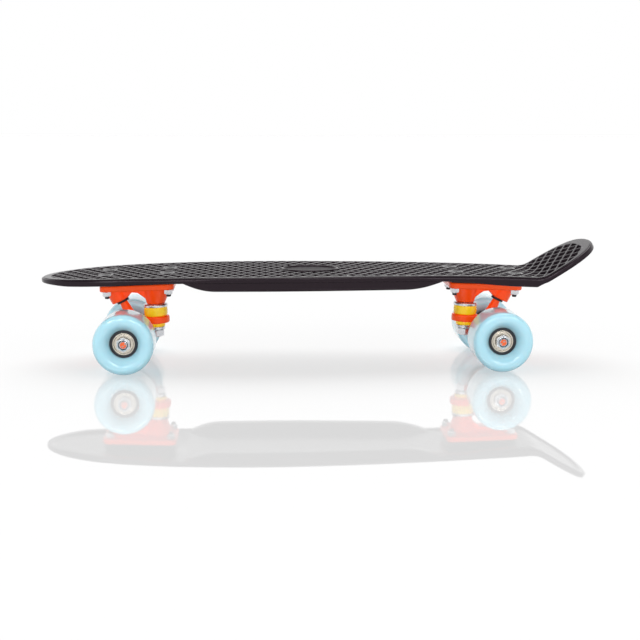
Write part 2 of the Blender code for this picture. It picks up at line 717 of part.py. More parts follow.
def truck_matrix(axle_x, outward):
    """Place of a truck's own frame: on its axle, turned to face its end and leaned with the deck."""
    turn = Matrix.Rotation(math.pi, 4, "Z") if outward < 0 else Matrix.Identity(4)
    lean = Matrix.Rotation(TILT, 4, "Y")
    return Matrix.Translation((axle_x, 0, WHEEL_RADIUS)) @ turn @ lean


def build_deck(finish):
    blank = place_tool("deck_blank", flat_deck_mesh())
    combine(blank, pits_tool(), "DIFFERENCE")
    combine(blank, badge_tool(), "DIFFERENCE")
    mesh = evaluated(blank, "deck")
    bend_deck(mesh)
    deck = place("deck", mesh, finish)
    for side, label in ((-1, "left"), (1, "right")):
        rail = place_tool("rail_" + label, rail_mesh(side))
        combine(deck, rail, "UNION")
    for end, axle_x, outward in TRUCKS:
        frame = truck_matrix(axle_x, outward)
        pad = rounded_block_mesh(
            "truck_pad", PLATE_LENGTH - 2 * PAD_INSET, PLATE_WIDTH - 2 * PAD_INSET,
            TRUCK_HEIGHT, TRUCK_HEIGHT + DECK_AT_TRUCK - PANEL_THICKNESS + JOIN, PAD_CORNER,
            centre=(PLATE_MIDDLE_X, 0))
        combine(deck, place_tool("truck_pad_" + end, pad, matrix=frame), "UNION")
        for i, x in enumerate(BOLT_XS):
            for j, y in enumerate(BOLT_YS):
                top = TRUCK_HEIGHT + DECK_AT_TRUCK - BOLT_HEAD_SINK
                head = BOLT_HEAD_DIAMETER / 2 + FIT
                radius = BOLT_DIAMETER / 2 + FIT
                profile = ((0, top + OVERRUN), (head, top + OVERRUN), (head, top - FIT),
                           (radius, top - BOLT_HEAD_HEIGHT - FIT), (radius, TRUCK_HEIGHT - OVERRUN),
                           (0, TRUCK_HEIGHT - OVERRUN))
                hole = turned_mesh("deck_hole", profile, ROUND_SMALL, closed=False)
                tool = place_tool("deck_hole_%s_%d%d" % (end, i, j), hole,
                                  matrix=frame @ Matrix.Translation((x, y, 0)))
                combine(deck, tool, "DIFFERENCE")
    return deck


# Trucks

def bore_along(name, radius, bottom, top, axis_frame, steps=ROUND_COARSE):
    """A drill along the z axis of a frame."""
    return place_tool(name, rod_mesh(name, radius, bottom, top, steps), matrix=axis_frame)


def build_baseplate():
    """Cast baseplate mesh in the truck's frame."""
    top_trim = PLATE_TOP_Z - JOIN
    up_axis = along(-PIVOT_DOWN, PIVOT_BALL)
    across = Vector((math.cos(PIVOT_LEAN), 0, -math.sin(PIVOT_LEAN)))
    boss_axis = along(-PIVOT_DOWN, PIVOT_BALL + PIVOT_BOSS_SHIFT * across)
    boss_length = (top_trim - PIVOT_BALL_Z) / math.cos(PIVOT_LEAN) + PIVOT_BOSS_RADIUS
    pivot_boss = place_tool("pivot_boss", rod_mesh(
        "pivot_boss", PIVOT_BOSS_RADIUS, -PIVOT_FACE_FROM_BALL, boss_length, steps=ROUND_FINE), matrix=boss_axis)
    lid = bpy.data.meshes.new("lid")
    bm = bmesh.new()
    bmesh.ops.create_cube(bm, size=2 * PLATE_LENGTH,
                          matrix=Matrix.Translation((0, 0, top_trim + PLATE_LENGTH)))
    bm.to_mesh(lid)
    bm.free()
    trimmer = place_tool("boss_trimmer", lid)
    combine(pivot_boss, trimmer, "DIFFERENCE")
    pivot_core = place_tool("pivot_boss_trimmed", evaluated(pivot_boss, "pivot_boss_trimmed"), matrix=boss_axis)

    lean = Matrix(((1, 0, -KINGPIN_BOSS_LEAN / (top_trim - KINGPIN_BOSS_BOTTOM_Z), 0),
                   (0, 1, 0, 0), (0, 0, 1, 0), (0, 0, 0, 1)))
    cone = rod_mesh("kingpin_boss", KINGPIN_BOSS_BOTTOM_RADIUS, 0, top_trim - KINGPIN_BOSS_BOTTOM_Z,
                    steps=ROUND_FINE, top_radius=KINGPIN_BOSS_TOP_RADIUS)
    cone.transform(Matrix.Translation((KINGPIN_X - KINGPIN_BOSS_SHIFT, 0, KINGPIN_BOSS_BOTTOM_Z)) @ lean)
    kingpin_boss = place_tool("kingpin_boss", cone)

    face_mid = PIVOT_BALL + PIVOT_FACE_FROM_BALL * PIVOT_DOWN + PIVOT_BOSS_SHIFT * across
    face_outer = face_mid + (PIVOT_BOSS_RADIUS - 1.5 * JOIN) * across + JOIN * Vector((0, 0, 1))
    face_inner = face_mid - PIVOT_BOSS_RADIUS * across
    web_outline = (
        (KINGPIN_X, KINGPIN_BOSS_BOTTOM_Z + JOIN),
        (KINGPIN_X + KINGPIN_BOSS_BOTTOM_RADIUS - JOIN, KINGPIN_BOSS_BOTTOM_Z + JOIN),
        (KINGPIN_X + KINGPIN_BOSS_BOTTOM_RADIUS, KINGPIN_BOSS_BOTTOM_Z + WEB_KINGPIN_HEIGHT),
        (face_inner.x - WEB_ARCH_INNER[0], face_inner.z + WEB_ARCH_INNER[1]),
        (face_inner.x - WEB_ARCH_OUTER[0], face_inner.z + WEB_ARCH_OUTER[1]),
        (face_inner.x + FIT, face_inner.z + FIT),
        (face_outer.x, face_outer.z),
        (face_outer.x + WEB_TOE, top_trim),
        (PLATE_INNER_X + WEB_INNER_END[0], top_trim),
        (PLATE_INNER_X + WEB_INNER_END[1], PLATE_BOTTOM_Z - JOIN),
    )
    web = place_tool("plate_web", extruded_mesh("plate_web", web_outline, WEB_THICKNESS / 2))

    blank = place_tool("baseplate_blank", rounded_block_mesh(
        "baseplate_blank", PLATE_LENGTH, PLATE_WIDTH, PLATE_BOTTOM_Z, PLATE_TOP_Z, PLATE_CORNER,
        bevel=PLATE_EDGE_BEVEL, centre=(PLATE_MIDDLE_X, 0)))
    for piece in (pivot_core, kingpin_boss, web):
        combine(blank, piece, "UNION")
    cup_bore = bore_along("cup_bore", CUP_RADIUS + FIT, -PIVOT_FACE_FROM_BALL - OVERRUN,
                          CUP_DEPTH_BEHIND_BALL + FIT, up_axis, ROUND_FINE)
    combine(blank, cup_bore, "DIFFERENCE")
    kingpin_axis = Matrix.Translation((KINGPIN_X, 0, 0))
    shank = bore_along("kingpin_bore", KINGPIN_DIAMETER / 2 + FIT, 0, TRUCK_HEIGHT + OVERRUN, kingpin_axis)
    combine(blank, shank, "DIFFERENCE")
    pocket_bottom = PLATE_TOP_Z - KINGPIN_HEAD_HEIGHT - 2 * FIT
    pocket = place_tool("kingpin_pocket", hex_mesh(
        "kingpin_pocket", KINGPIN_HEAD_ACROSS + 2 * FIT, pocket_bottom, PLATE_TOP_Z + OVERRUN), matrix=kingpin_axis)
    combine(blank, pocket, "DIFFERENCE")
    for i, x in enumerate(BOLT_XS):
        for j, y in enumerate(BOLT_YS):
            hole = bore_along("plate_hole_%d%d" % (i, j), BOLT_DIAMETER / 2 + FIT, PLATE_BOTTOM_Z - OVERRUN,
                              PLATE_TOP_Z + OVERRUN, Matrix.Translation((x, y, 0)), ROUND_SMALL)
            combine(blank, hole, "DIFFERENCE")
    return evaluated(blank, "baseplate")


def kingpin_mesh():
    """Kingpin: a hexagonal head pressed in the baseplate and a plain shank."""
    head_top = PLATE_TOP_Z - FIT
    head_bottom = head_top - KINGPIN_HEAD_HEIGHT
    head = place_tool("kingpin_head", hex_mesh(
        "kingpin_head", KINGPIN_HEAD_ACROSS, head_bottom, head_top, NUT_CHAMFER))
    shank = place_tool("kingpin_shank", rod_mesh(
        "kingpin_shank", KINGPIN_DIAMETER / 2, KINGPIN_END_Z, head_bottom + JOIN))
    combine(head, shank, "UNION")
    return evaluated(head, "kingpin")


def pivot_cup_mesh():
    """Rubber cup round the pivot, closed behind the ball and flared at its mouth; z runs up its axis."""
    face = -PIVOT_FACE_FROM_BALL - FIT
    mouth = face - CUP_RIM_THICKNESS
    top = CUP_DEPTH_BEHIND_BALL
    cavity = PIVOT_BALL_RADIUS + FIT
    angles = [math.radians(a) for a in (90, 60, 30, 0)]
    ball = [(cavity * math.cos(a), cavity * math.sin(a)) for a in angles]
    ball[0] = (0, cavity)
    profile = [(0, top), (CUP_RADIUS, top), (CUP_RADIUS, face), (CUP_RIM_RADIUS, face),
               (CUP_RIM_RADIUS, mouth), (CUP_MOUTH_RADIUS, mouth)] + list(reversed(ball))
    return turned_mesh("pivot_cup", profile, ROUND_COARSE, closed=False)


def upper_washer_mesh():
    """Cup washer over the upper bushing, its skirt turned down."""
    top = KINGPIN_BOSS_BOTTOM_Z - FIT
    bore = KINGPIN_DIAMETER / 2 + FIT
    profile = ((bore, top), (UPPER_WASHER_RADIUS - WASHER_EDGE, top), (UPPER_WASHER_RADIUS, top - WASHER_EDGE),
               (UPPER_WASHER_RADIUS, top - UPPER_WASHER_SKIRT),
               (UPPER_WASHER_RADIUS - WASHER_SHEET, top - UPPER_WASHER_SKIRT),
               (UPPER_WASHER_RADIUS - WASHER_SHEET, top - WASHER_SHEET), (bore, top - WASHER_SHEET))
    return turned_mesh("upper_washer", profile, ROUND_FINE)


def upper_bushing_mesh():
    """Upper urethane bushing: a neck in the cup washer, a barrel and a foot in the ring's seat."""
    washer_top = KINGPIN_BOSS_BOTTOM_Z - FIT
    top = washer_top - WASHER_SHEET - FIT
    skirt = washer_top - UPPER_WASHER_SKIRT - FIT
    ring_top = RING_Z + RING_THICKNESS / 2
    barrel = ring_top + FIT
    foot = ring_top - RING_SEAT_DEPTH + FIT
    neck = UPPER_WASHER_RADIUS - WASHER_SHEET - FIT
    bore = KINGPIN_DIAMETER / 2 + FIT
    foot_radius = UPPER_SEAT_RADIUS - FIT
    profile = ((bore, top), (neck, top), (neck, skirt), (UPPER_BUSHING_RADIUS - BUSHING_EDGE, skirt),
               (UPPER_BUSHING_RADIUS, barrel + BUSHING_BULGE_HEIGHT), (UPPER_BUSHING_RADIUS - BUSHING_EDGE, barrel),
               (foot_radius, barrel), (foot_radius, foot), (bore, foot))
    return turned_mesh("upper_bushing", profile, ROUND_FINE)


def lower_bushing_mesh():
    """Lower urethane bushing: a foot in the ring's seat and a short cone down to its washer."""
    ring_bottom = RING_Z - RING_THICKNESS / 2
    top = ring_bottom + RING_SEAT_DEPTH - FIT
    face = ring_bottom - FIT
    bottom = ring_bottom - LOWER_BUSHING_HEIGHT
    foot_radius = LOWER_SEAT_RADIUS - FIT
    bore = KINGPIN_DIAMETER / 2 + FIT
    low_radius = LOWER_WASHER_RADIUS - WASHER_SHEET - FIT
    profile = ((bore, top), (foot_radius, top), (foot_radius, face), (LOWER_BUSHING_RADIUS, face),
               (LOWER_BUSHING_RADIUS - BUSHING_EDGE, bottom + FIT), (low_radius, bottom + FIT),
               (low_radius, bottom - BUSHING_NECK), (bore, bottom - BUSHING_NECK))
    return turned_mesh("lower_bushing", profile, ROUND_COARSE)


def lower_washer_mesh():
    """Cup washer under the lower bushing, its skirt turned up."""
    skirt_top = RING_Z - RING_THICKNESS / 2 - LOWER_BUSHING_HEIGHT
    floor_top = skirt_top - BUSHING_NECK - FIT
    bottom = skirt_top - LOWER_WASHER_HEIGHT
    bore = KINGPIN_DIAMETER / 2 + FIT
    profile = ((bore, floor_top), (LOWER_WASHER_RADIUS - WASHER_SHEET, floor_top),
               (LOWER_WASHER_RADIUS - WASHER_SHEET, skirt_top), (LOWER_WASHER_RADIUS, skirt_top),
               (LOWER_WASHER_RADIUS, bottom + WASHER_EDGE), (LOWER_WASHER_RADIUS - WASHER_EDGE, bottom),
               (bore, bottom))
    return turned_mesh("lower_washer", profile, ROUND_COARSE)


def kingpin_nut_mesh():
    washer_bottom = RING_Z - RING_THICKNESS / 2 - LOWER_BUSHING_HEIGHT - LOWER_WASHER_HEIGHT
    top = washer_bottom - FIT
    return hex_mesh("kingpin_nut", KINGPIN_NUT_ACROSS, top - KINGPIN_NUT_HEIGHT, top, NUT_CHAMFER,
                    KINGPIN_DIAMETER + 2 * FIT, ROUND_COARSE)


def hanger_mesh():
    """Cast hanger: axle beam, kingpin ring, neck, gussets and the stem with its round pivot."""
    half = BEAM_HALF_LENGTH
    washer = SPEED_WASHER_DIAMETER / 2
    end = half + SPEED_WASHER_THICKNESS
    half_profile = ((washer, end), (washer, half), (BEAM_END_RADIUS - RING_EDGE, half),
                    (BEAM_END_RADIUS, half - RING_EDGE), (BEAM_END_RADIUS, BEAM_SWELL_START * half),
                    (BEAM_MIDDLE_RADIUS, BEAM_SWELL_END * half))
    low_profile = [(radius, -height) for radius, height in reversed(half_profile)]
    profile = [(0, end)] + list(half_profile) + low_profile + [(0, -end)]
    beam = place_tool("hanger_beam", turned_mesh("hanger_beam", profile, ROUND_COARSE, closed=False),
                      matrix=Matrix.Rotation(math.pi / 2, 4, "X"))

    stem_reach = (PIVOT_BALL_Z - STEM_RADIUS_LOW * math.sin(PIVOT_LEAN)) / math.cos(PIVOT_LEAN)
    ball = [(PIVOT_BALL_RADIUS * math.cos(math.radians(a)), PIVOT_BALL_RADIUS * math.sin(math.radians(a)))
            for a in (65, 40, 15)]
    stem_profile = ([(0, PIVOT_BALL_RADIUS)] + ball
                    + [(PIVOT_BALL_RADIUS, -STEM_NECK),
                       ((PIVOT_BALL_RADIUS + STEM_RADIUS_LOW) / 2 - RING_EDGE, -STEM_FLARE),
                       (STEM_RADIUS_LOW, -stem_reach), (0, -stem_reach)])
    stem = place_tool("hanger_stem", turned_mesh("hanger_stem", stem_profile, ROUND_COARSE, closed=False),
                      matrix=along(-PIVOT_DOWN, PIVOT_BALL))

    bottom = RING_Z - RING_THICKNESS / 2
    top = RING_Z + RING_THICKNESS / 2
    ring_profile = ((RING_RADIUS - RING_EDGE, top), (RING_RADIUS, top - RING_EDGE), (RING_RADIUS, bottom + RING_EDGE),
                    (RING_RADIUS - RING_EDGE, bottom), (0, bottom))
    ring = place_tool("hanger_ring", turned_mesh("hanger_ring", ((0, top),) + ring_profile, ROUND_FINE, closed=False),
                      matrix=Matrix.Translation((KINGPIN_X, 0, 0)))

    neck = bmesh.new()
    sections = ((KINGPIN_X + NECK_AT_RING * RING_RADIUS, NECK_WIDTH_AT_RING / 2, bottom + RING_EDGE, top - RING_EDGE),
                (-JOIN, NECK_WIDTH_AT_BEAM / 2, NECK_BOTTOM_AT_BEAM, NECK_TOP_AT_BEAM))
    for x, wide, low, high in sections:
        flat = NECK_FLAT * wide
        for y, z in ((wide, high - NECK_CORNER), (flat, high), (flat, low), (wide, low + NECK_CORNER)):
            neck.verts.new((x, y, z))
            neck.verts.new((x, -y, z))
    close_hull(neck)
    neck_tool = place_tool("hanger_neck", mesh_from(neck, "hanger_neck"))

    gusset = bmesh.new()
    shoulder = GUSSET_SHOULDER * PIVOT_BALL_Z
    shoulder_x = PIVOT_BALL_X + (shoulder - PIVOT_BALL_Z) * math.tan(PIVOT_LEAN) - JOIN
    for x, wide, z, thickness in (
            (0, GUSSET_TOP_REACH * half, JOIN, GUSSET_FOOT_THICKNESS),
            (0, GUSSET_LOW_REACH * half, -JOIN / 2, GUSSET_FOOT_THICKNESS),
            (shoulder_x, GUSSET_SHOULDER_HALF, shoulder, GUSSET_TOP_THICKNESS),
            (-JOIN, GUSSET_SHOULDER_HALF, 0, GUSSET_MIDDLE_THICKNESS)):
        for y in (-wide, wide):
            gusset.verts.new((x - thickness / 2, y, z))
            gusset.verts.new((x + thickness / 2, y, z))
    close_hull(gusset)
    gusset_tool = place_tool("hanger_gusset", mesh_from(gusset, "hanger_gusset"))

    for piece in (neck_tool, gusset_tool, ring, stem):
        combine(beam, piece, "UNION")
    axle_bore = bore_along("axle_bore", AXLE_DIAMETER / 2 + FIT, -TRACK_OUTSIDE / 2, TRACK_OUTSIDE / 2,
                           Matrix.Rotation(math.pi / 2, 4, "X"))
    combine(beam, axle_bore, "DIFFERENCE")
    kingpin_axis = Matrix.Translation((KINGPIN_X, 0, 0))
    seats = ((UPPER_SEAT_RADIUS, top + OVERRUN), (UPPER_SEAT_RADIUS, top - RING_SEAT_DEPTH),
             (RING_BORE_RADIUS, top - RING_SEAT_DEPTH), (RING_BORE_RADIUS, bottom + RING_SEAT_DEPTH),
             (LOWER_SEAT_RADIUS, bottom + RING_SEAT_DEPTH), (LOWER_SEAT_RADIUS, bottom - OVERRUN))
    profile = ((0, top + OVERRUN),) + seats + ((0, bottom - OVERRUN),)
    bore = place_tool("ring_bore", turned_mesh("ring_bore", profile, closed=False), matrix=kingpin_axis)
    combine(beam, bore, "DIFFERENCE")
    mesh = evaluated(beam, "hanger")
    mesh.transform(Matrix.Rotation(math.pi / 2, 4, "X"))
    return mesh


# Wheels: z runs outward along the axle from the middle of the truck

def tyre_mesh():
    """Urethane wheel with round lips, a dish on its outer face and a bore for the core."""
    outer = TRACK_OUTSIDE / 2
    inner = outer - WHEEL_WIDTH
    lip = WHEEL_LIP_RADIUS
    bore = CORE_DIAMETER / 2 + FIT
    outer_lip = [(WHEEL_RADIUS - lip + lip * math.sin(a), outer - lip + lip * math.cos(a))
                 for a in (math.radians(d) for d in (0, 45, 90))]
    inner_lip = [(WHEEL_RADIUS - lip + lip * math.sin(a), inner + lip - lip * math.cos(a))
                 for a in (math.radians(d) for d in (90, 45, 0))]
    dish = WHEEL_RADIUS - lip - bore
    profile = ([(bore, outer - DISH_DEPTH), (bore + 0.45 * dish, outer - 0.28 * DISH_DEPTH)]
               + outer_lip + inner_lip + [(bore, inner + DISH_DEPTH)])
    return turned_mesh("tyre", profile, TYRE_STEPS)


def core_mesh():
    """Hard core pressed in the wheel, with a bearing seat at each end and a web between them."""
    radius = CORE_DIAMETER / 2
    seat = BEARING_DIAMETER / 2 + FIT
    web = CORE_WEB_BORE / 2
    high = OUTER_BEARING_FACE + CORE_RIM_OUTSIDE
    low = INNER_BEARING_FACE - CORE_RIM_INSIDE
    web_high = OUTER_BEARING_FACE - BEARING_WIDTH - FIT
    web_low = INNER_BEARING_FACE + BEARING_WIDTH + FIT
    profile = ((seat, high), (radius, high), (radius, low), (seat, low),
               (seat, web_low), (web, web_low), (web, web_high), (seat, web_high))
    return turned_mesh("core", profile, ROUND_COARSE)


def bearing_mesh():
    """Shielded ball bearing: on its shown face both races stand proud of the shield."""
    outer = BEARING_DIAMETER / 2
    bore = BEARING_BORE / 2
    half = BEARING_WIDTH / 2
    sink = half - SHIELD_SINK
    ring_in = outer - OUTER_RACE_WALL
    race = bore + INNER_RACE_WALL
    profile = ((bore, half), (race, half), (race, sink), (ring_in, sink), (ring_in, half), (outer, half),
               (outer, -half), (bore, -half))
    return turned_mesh("bearing", profile, ROUND_COARSE)


def axle_nut_mesh():
    """Lock nut with the speed washer that it presses on the bearing."""
    base = OUTER_BEARING_FACE + FIT
    washer_top = base + SPEED_WASHER_THICKNESS
    nut_top = washer_top + AXLE_NUT_HEIGHT
    nut = place_tool("axle_nut_hex", hex_mesh(
        "axle_nut_hex", AXLE_NUT_ACROSS, washer_top - JOIN / 4, nut_top - JOIN, NUT_CHAMFER))
    washer = place_tool("axle_nut_washer", rod_mesh(
        "axle_nut_washer", SPEED_WASHER_DIAMETER / 2, base, washer_top))
    collar = place_tool("axle_nut_collar", rod_mesh(
        "axle_nut_collar", AXLE_NUT_COLLAR_BOTTOM / 2, base + JOIN, nut_top, top_radius=AXLE_NUT_COLLAR_TOP / 2))
    combine(nut, washer, "UNION")
    combine(nut, collar, "UNION")
    drill = place_tool("axle_nut_drill", rod_mesh(
        "axle_nut_drill", AXLE_DIAMETER / 2 + FIT, base - OVERRUN, nut_top + OVERRUN))
    combine(nut, drill, "DIFFERENCE")
    return evaluated(nut, "axle_nut")


def axle_mesh():
    end = OUTER_BEARING_FACE + FIT + SPEED_WASHER_THICKNESS + AXLE_NUT_HEIGHT + AXLE_STICKS_OUT
    radius = AXLE_DIAMETER / 2
    tip = AXLE_TIP_CHAMFER
    profile = ((0, end), (radius - tip, end), (radius, end - tip), (radius, tip - end), (radius - tip, -end),
               (0, -end))
    return turned_mesh("axle", profile, ROUND_COARSE, closed=False)


# Deck bolts, in the truck's frame

def deck_bolt_mesh():
    """Countersunk bolt from the deck's top to just past its nut."""
    top = TRUCK_HEIGHT + DECK_AT_TRUCK - BOLT_HEAD_SINK
    end = PLATE_BOTTOM_Z - FIT - BOLT_NUT_HEIGHT - BOLT_STICKS_OUT
    radius = BOLT_DIAMETER / 2
    profile = ((0, top), (BOLT_HEAD_DIAMETER / 2, top), (radius, top - BOLT_HEAD_HEIGHT), (radius, end), (0, end))
    return turned_mesh("deck_bolt", profile, ROUND_SMALL, closed=False)


def deck_nut_mesh():
    top = PLATE_BOTTOM_Z - FIT
    return hex_mesh("deck_nut", BOLT_NUT_ACROSS, top - BOLT_NUT_HEIGHT, top, bore=BOLT_DIAMETER + 2 * FIT)


def build_truck(end, axle_x, outward, meshes, finishes):
    """One truck with its wheels; left is the side at the rider's left when facing the nose."""
    frame = empty("truck_" + end, matrix=truck_matrix(axle_x, outward))
    kingpin_axis = Matrix.Translation((KINGPIN_X, 0, 0))
    place("baseplate_" + end, meshes["baseplate"], finishes["cast"], frame)
    place("kingpin_" + end, meshes["kingpin"], finishes["steel"], frame, kingpin_axis)
    place("kingpin_nut_" + end, meshes["kingpin_nut"], finishes["steel"], frame, kingpin_axis)
    place("upper_washer_" + end, meshes["upper_washer"], finishes["steel"], frame, kingpin_axis)
    place("lower_washer_" + end, meshes["lower_washer"], finishes["steel"], frame, kingpin_axis)
    place("upper_bushing_" + end, meshes["upper_bushing"], finishes["bushing"], frame, kingpin_axis)
    place("lower_bushing_" + end, meshes["lower_bushing"], finishes["bushing"], frame, kingpin_axis)
    place("pivot_cup_" + end, meshes["pivot_cup"], finishes["rubber"], frame, along(-PIVOT_DOWN, PIVOT_BALL))
    for x, where in zip(BOLT_XS, ("inner", "outer")):
        for y in BOLT_YS:
            side = "left" if y * outward < 0 else "right"
            spot = Matrix.Translation((x, y, 0))
            label = "%s_%s_%s" % (end, where, side)
            place("deck_bolt_" + label, meshes["deck_bolt"], finishes["black_steel"], frame, spot)
            place("deck_nut_" + label, meshes["deck_nut"], finishes["steel"], frame, spot)

    steer_frame = along(PIVOT_BALL - RING_CENTRE, PIVOT_BALL)
    steer = empty("steer_" + end, frame, steer_frame)
    in_steer = steer_frame.inverted()
    place("hanger_" + end, meshes["hanger"], finishes["cast"], steer, in_steer)
    place("axle_" + end, meshes["axle"], finishes["cast"], steer,
          in_steer @ Matrix.Rotation(math.pi / 2, 4, "X"))
    outer_middle = OUTER_BEARING_FACE - BEARING_WIDTH / 2
    inner_middle = INNER_BEARING_FACE + BEARING_WIDTH / 2
    for side in (-1, 1):
        label = "left" if side * outward < 0 else "right"
        spot = "%s_%s" % (end, label)
        turn = Matrix.Rotation(-side * math.pi / 2, 4, "X")
        place("axle_nut_" + spot, meshes["axle_nut"], finishes["steel"], steer, in_steer @ turn)
        spin = empty("spin_" + spot, steer, in_steer @ turn)
        place("wheel_" + spot, meshes["tyre"], finishes["urethane"], spin)
        place("wheel_core_" + spot, meshes["core"], finishes["core"], spin)
        place("outer_bearing_" + spot, meshes["bearing"], finishes["steel"], spin,
              Matrix.Translation((0, 0, outer_middle)))
        place("inner_bearing_" + spot, meshes["bearing"], finishes["steel"], spin,
              Matrix.Translation((0, 0, inner_middle)) @ Matrix.Rotation(math.pi, 4, "X"))


clear_scene()
PARTS = make_collection(MODEL)
TOOLS = make_collection("cutters")

FINISHES = {
    "deck": material("deck_plastic", (0.022, 0.019, 0.022), 0.36),
    "cast": material("truck_paint", (0.78, 0.09, 0.015), 0.28),
    "steel": material("zinc_steel", (0.72, 0.72, 0.73), 0.26, 1.0),
    "black_steel": material("black_steel", (0.03, 0.03, 0.035), 0.38, 1.0),
    "bushing": material("bushing_urethane", (0.90, 0.48, 0.02), 0.32),
    "rubber": material("cup_rubber", (0.02, 0.02, 0.02), 0.55),
    "urethane": material("wheel_urethane", (0.50, 0.83, 0.90), 0.22),
    "core": material("core_plastic", (0.02, 0.022, 0.026), 0.40),
}

SHARED = {
    "baseplate": build_baseplate(),
    "kingpin": kingpin_mesh(),
    "kingpin_nut": kingpin_nut_mesh(),
    "upper_washer": upper_washer_mesh(),
    "lower_washer": lower_washer_mesh(),
    "upper_bushing": upper_bushing_mesh(),
    "lower_bushing": lower_bushing_mesh(),
    "pivot_cup": pivot_cup_mesh(),
    "hanger": hanger_mesh(),
    "axle": axle_mesh(),
    "axle_nut": axle_nut_mesh(),
    "tyre": tyre_mesh(),
    "core": core_mesh(),
    "bearing": bearing_mesh(),
    "deck_bolt": deck_bolt_mesh(),
    "deck_nut": deck_nut_mesh(),
}
for shared_mesh in SHARED.values():
    shade(shared_mesh)

build_deck(FINISHES["deck"])
for truck in TRUCKS:
    build_truck(*truck, SHARED, FINISHES)
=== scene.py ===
"""The look of a moulded plastic cruiser skateboard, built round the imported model.

Everything is in metres. The board stands on z = 0 with its nose to -X and its kicktail to +X.
"""

import json
from math import atan, cos, hypot, pi, radians, sin, tan

import bmesh
import bpy
from mathutils import Matrix, Vector
from mathutils.geometry import interpolate_bezier


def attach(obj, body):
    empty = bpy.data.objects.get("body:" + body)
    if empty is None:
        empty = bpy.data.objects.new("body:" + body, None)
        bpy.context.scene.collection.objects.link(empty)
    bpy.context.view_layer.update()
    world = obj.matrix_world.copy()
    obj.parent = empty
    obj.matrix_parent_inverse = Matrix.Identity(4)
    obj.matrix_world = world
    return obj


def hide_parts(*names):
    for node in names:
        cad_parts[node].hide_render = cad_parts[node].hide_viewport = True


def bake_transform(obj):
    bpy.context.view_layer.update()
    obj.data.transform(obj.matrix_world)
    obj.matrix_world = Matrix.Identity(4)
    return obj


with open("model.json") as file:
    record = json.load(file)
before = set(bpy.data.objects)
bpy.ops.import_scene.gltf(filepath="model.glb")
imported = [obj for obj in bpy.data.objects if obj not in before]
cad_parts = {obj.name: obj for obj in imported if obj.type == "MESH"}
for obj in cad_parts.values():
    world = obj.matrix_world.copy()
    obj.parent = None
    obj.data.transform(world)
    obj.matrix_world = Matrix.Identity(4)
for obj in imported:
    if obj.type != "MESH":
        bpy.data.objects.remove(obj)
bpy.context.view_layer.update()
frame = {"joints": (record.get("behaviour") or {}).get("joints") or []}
AXES = {joint["name"]: joint["pos_m"] for joint in frame["joints"]}
SCENE = bpy.context.scene

# Gap left between pieces that touch
FIT = 0.0003

# How far a cutter stands off a face that it leaves alone, and how far it runs past one that it cuts
HAIR = 0.0001
PAST = 0.002

# Chamfer at the mouth of a nut's bore
BORE_CHAMFER = 0.0004

# Layout along the board
FRONT_AXLE_X, _, WHEEL_RADIUS = AXES["front_left_wheel_spin"]
REAR_AXLE_X = AXES["rear_left_wheel_spin"][0]
NOSE_OVERHANG = 0.0866
KICK_FROM_REAR_AXLE = 0.0425
TAIL_LENGTH = 0.0652
KICK_ANGLE = radians(31.0)
KICK_TOP_RADIUS = 0.025
KICK_UNDERSIDE_RADIUS = 0.004
CAMBER_DROP = 0.0021

# Deck plan
DECK_WIDTH = 0.1406
WIDEST_FROM_FRONT_AXLE = 0.1433
SHOULDER_WIDTH = 0.1234
SHOULDER_FROM_TIP = 0.087
TAIL_WIDTH = 0.1054
NOSE_ROUNDNESS = 0.0345
TAIL_ROUNDNESS = 0.038

# Border, edge and lip of the deck
BORDER_WIDTH = 0.0052
BORDER_EXTRA_NOSE = 0.0042
BORDER_EXTRA_TAIL = 0.0062
BORDER_FALL = 0.0003
BORDER_PROFILE = ((1, 0), (0.6, 0.1), (0.4, 0.3))
EDGE_ROUNDING = 0.0030
EDGE_FALL_TIPS = 0.0014
EDGE_FALL_SHOULDERS = 0.0052
EDGE_FALL_MIDDLE = 0.0020
LIP_DEPTH_NOSE_TIP = 0.0050
LIP_DEPTH_FRONT = 0.0070
LIP_DEPTH_MIDDLE = 0.0056
LIP_DEPTH_REAR = 0.0097
LIP_DEPTH_TAIL = 0.0062
LIP_WIDTH = 0.0070
LIP_ROUNDING = 0.0012
LIP_DRAFT = 0.0015
PANEL_THICKNESS = 0.0047

# Quarter round of the deck's and rails' edges
QUARTER = [radians(15 * k) for k in range(7)]

# Distance between the sections at which the flat deck is split before it is bent, and how close points are
# taken for one
SECTION_STEP = 0.012
WELD = 0.00001

# Waffle; the ribs' profile is (share of the pits' depth, share of the rib's half width at its base)
PIT_DEPTH = 0.0026
DIAMOND_LENGTH = 0.0121
DIAMOND_WIDTH = 0.0210
DIAMOND_CORNER = 0.12
RIB_BASE_HALF = 0.0018
RIB_PROFILE = ((0, 0.20), (0.02, 0.30), (0.07, 0.41), (0.16, 0.51), (0.40, 0.64), (0.80, 0.85), (1, 1.08))

# Wall round the region that the pits may fill: (height, how far it leans in)
WAFFLE_WALL = ((0.003, 0), (0, 0), (-0.0004, 0.0003), (-PIT_DEPTH + 0.0003, 0.0008), (-PIT_DEPTH, 0.0012),
               (-0.01, 0.0014))

# Wall round a place in the waffle that stays solid: (share of the place's half width, height)
BOSS_WALL = ((0, 0.004), (1, 0.004), (1, -0.0003), (1, -0.01), (0, -0.01))

# Badge place and bolt pads
BADGE_LENGTH = 0.058
BADGE_WIDTH = 0.048
BADGE_FROM_FRONT_AXLE = 0.1833
BADGE_RIM = 0.0018
BADGE_SINK = 0.0009
BADGE_RIM_RISE = 0.0010
BADGE_FACES_UP = 0.9
BADGE_STEPS = 96
BOLT_PAD_DIAMETER = 0.0155

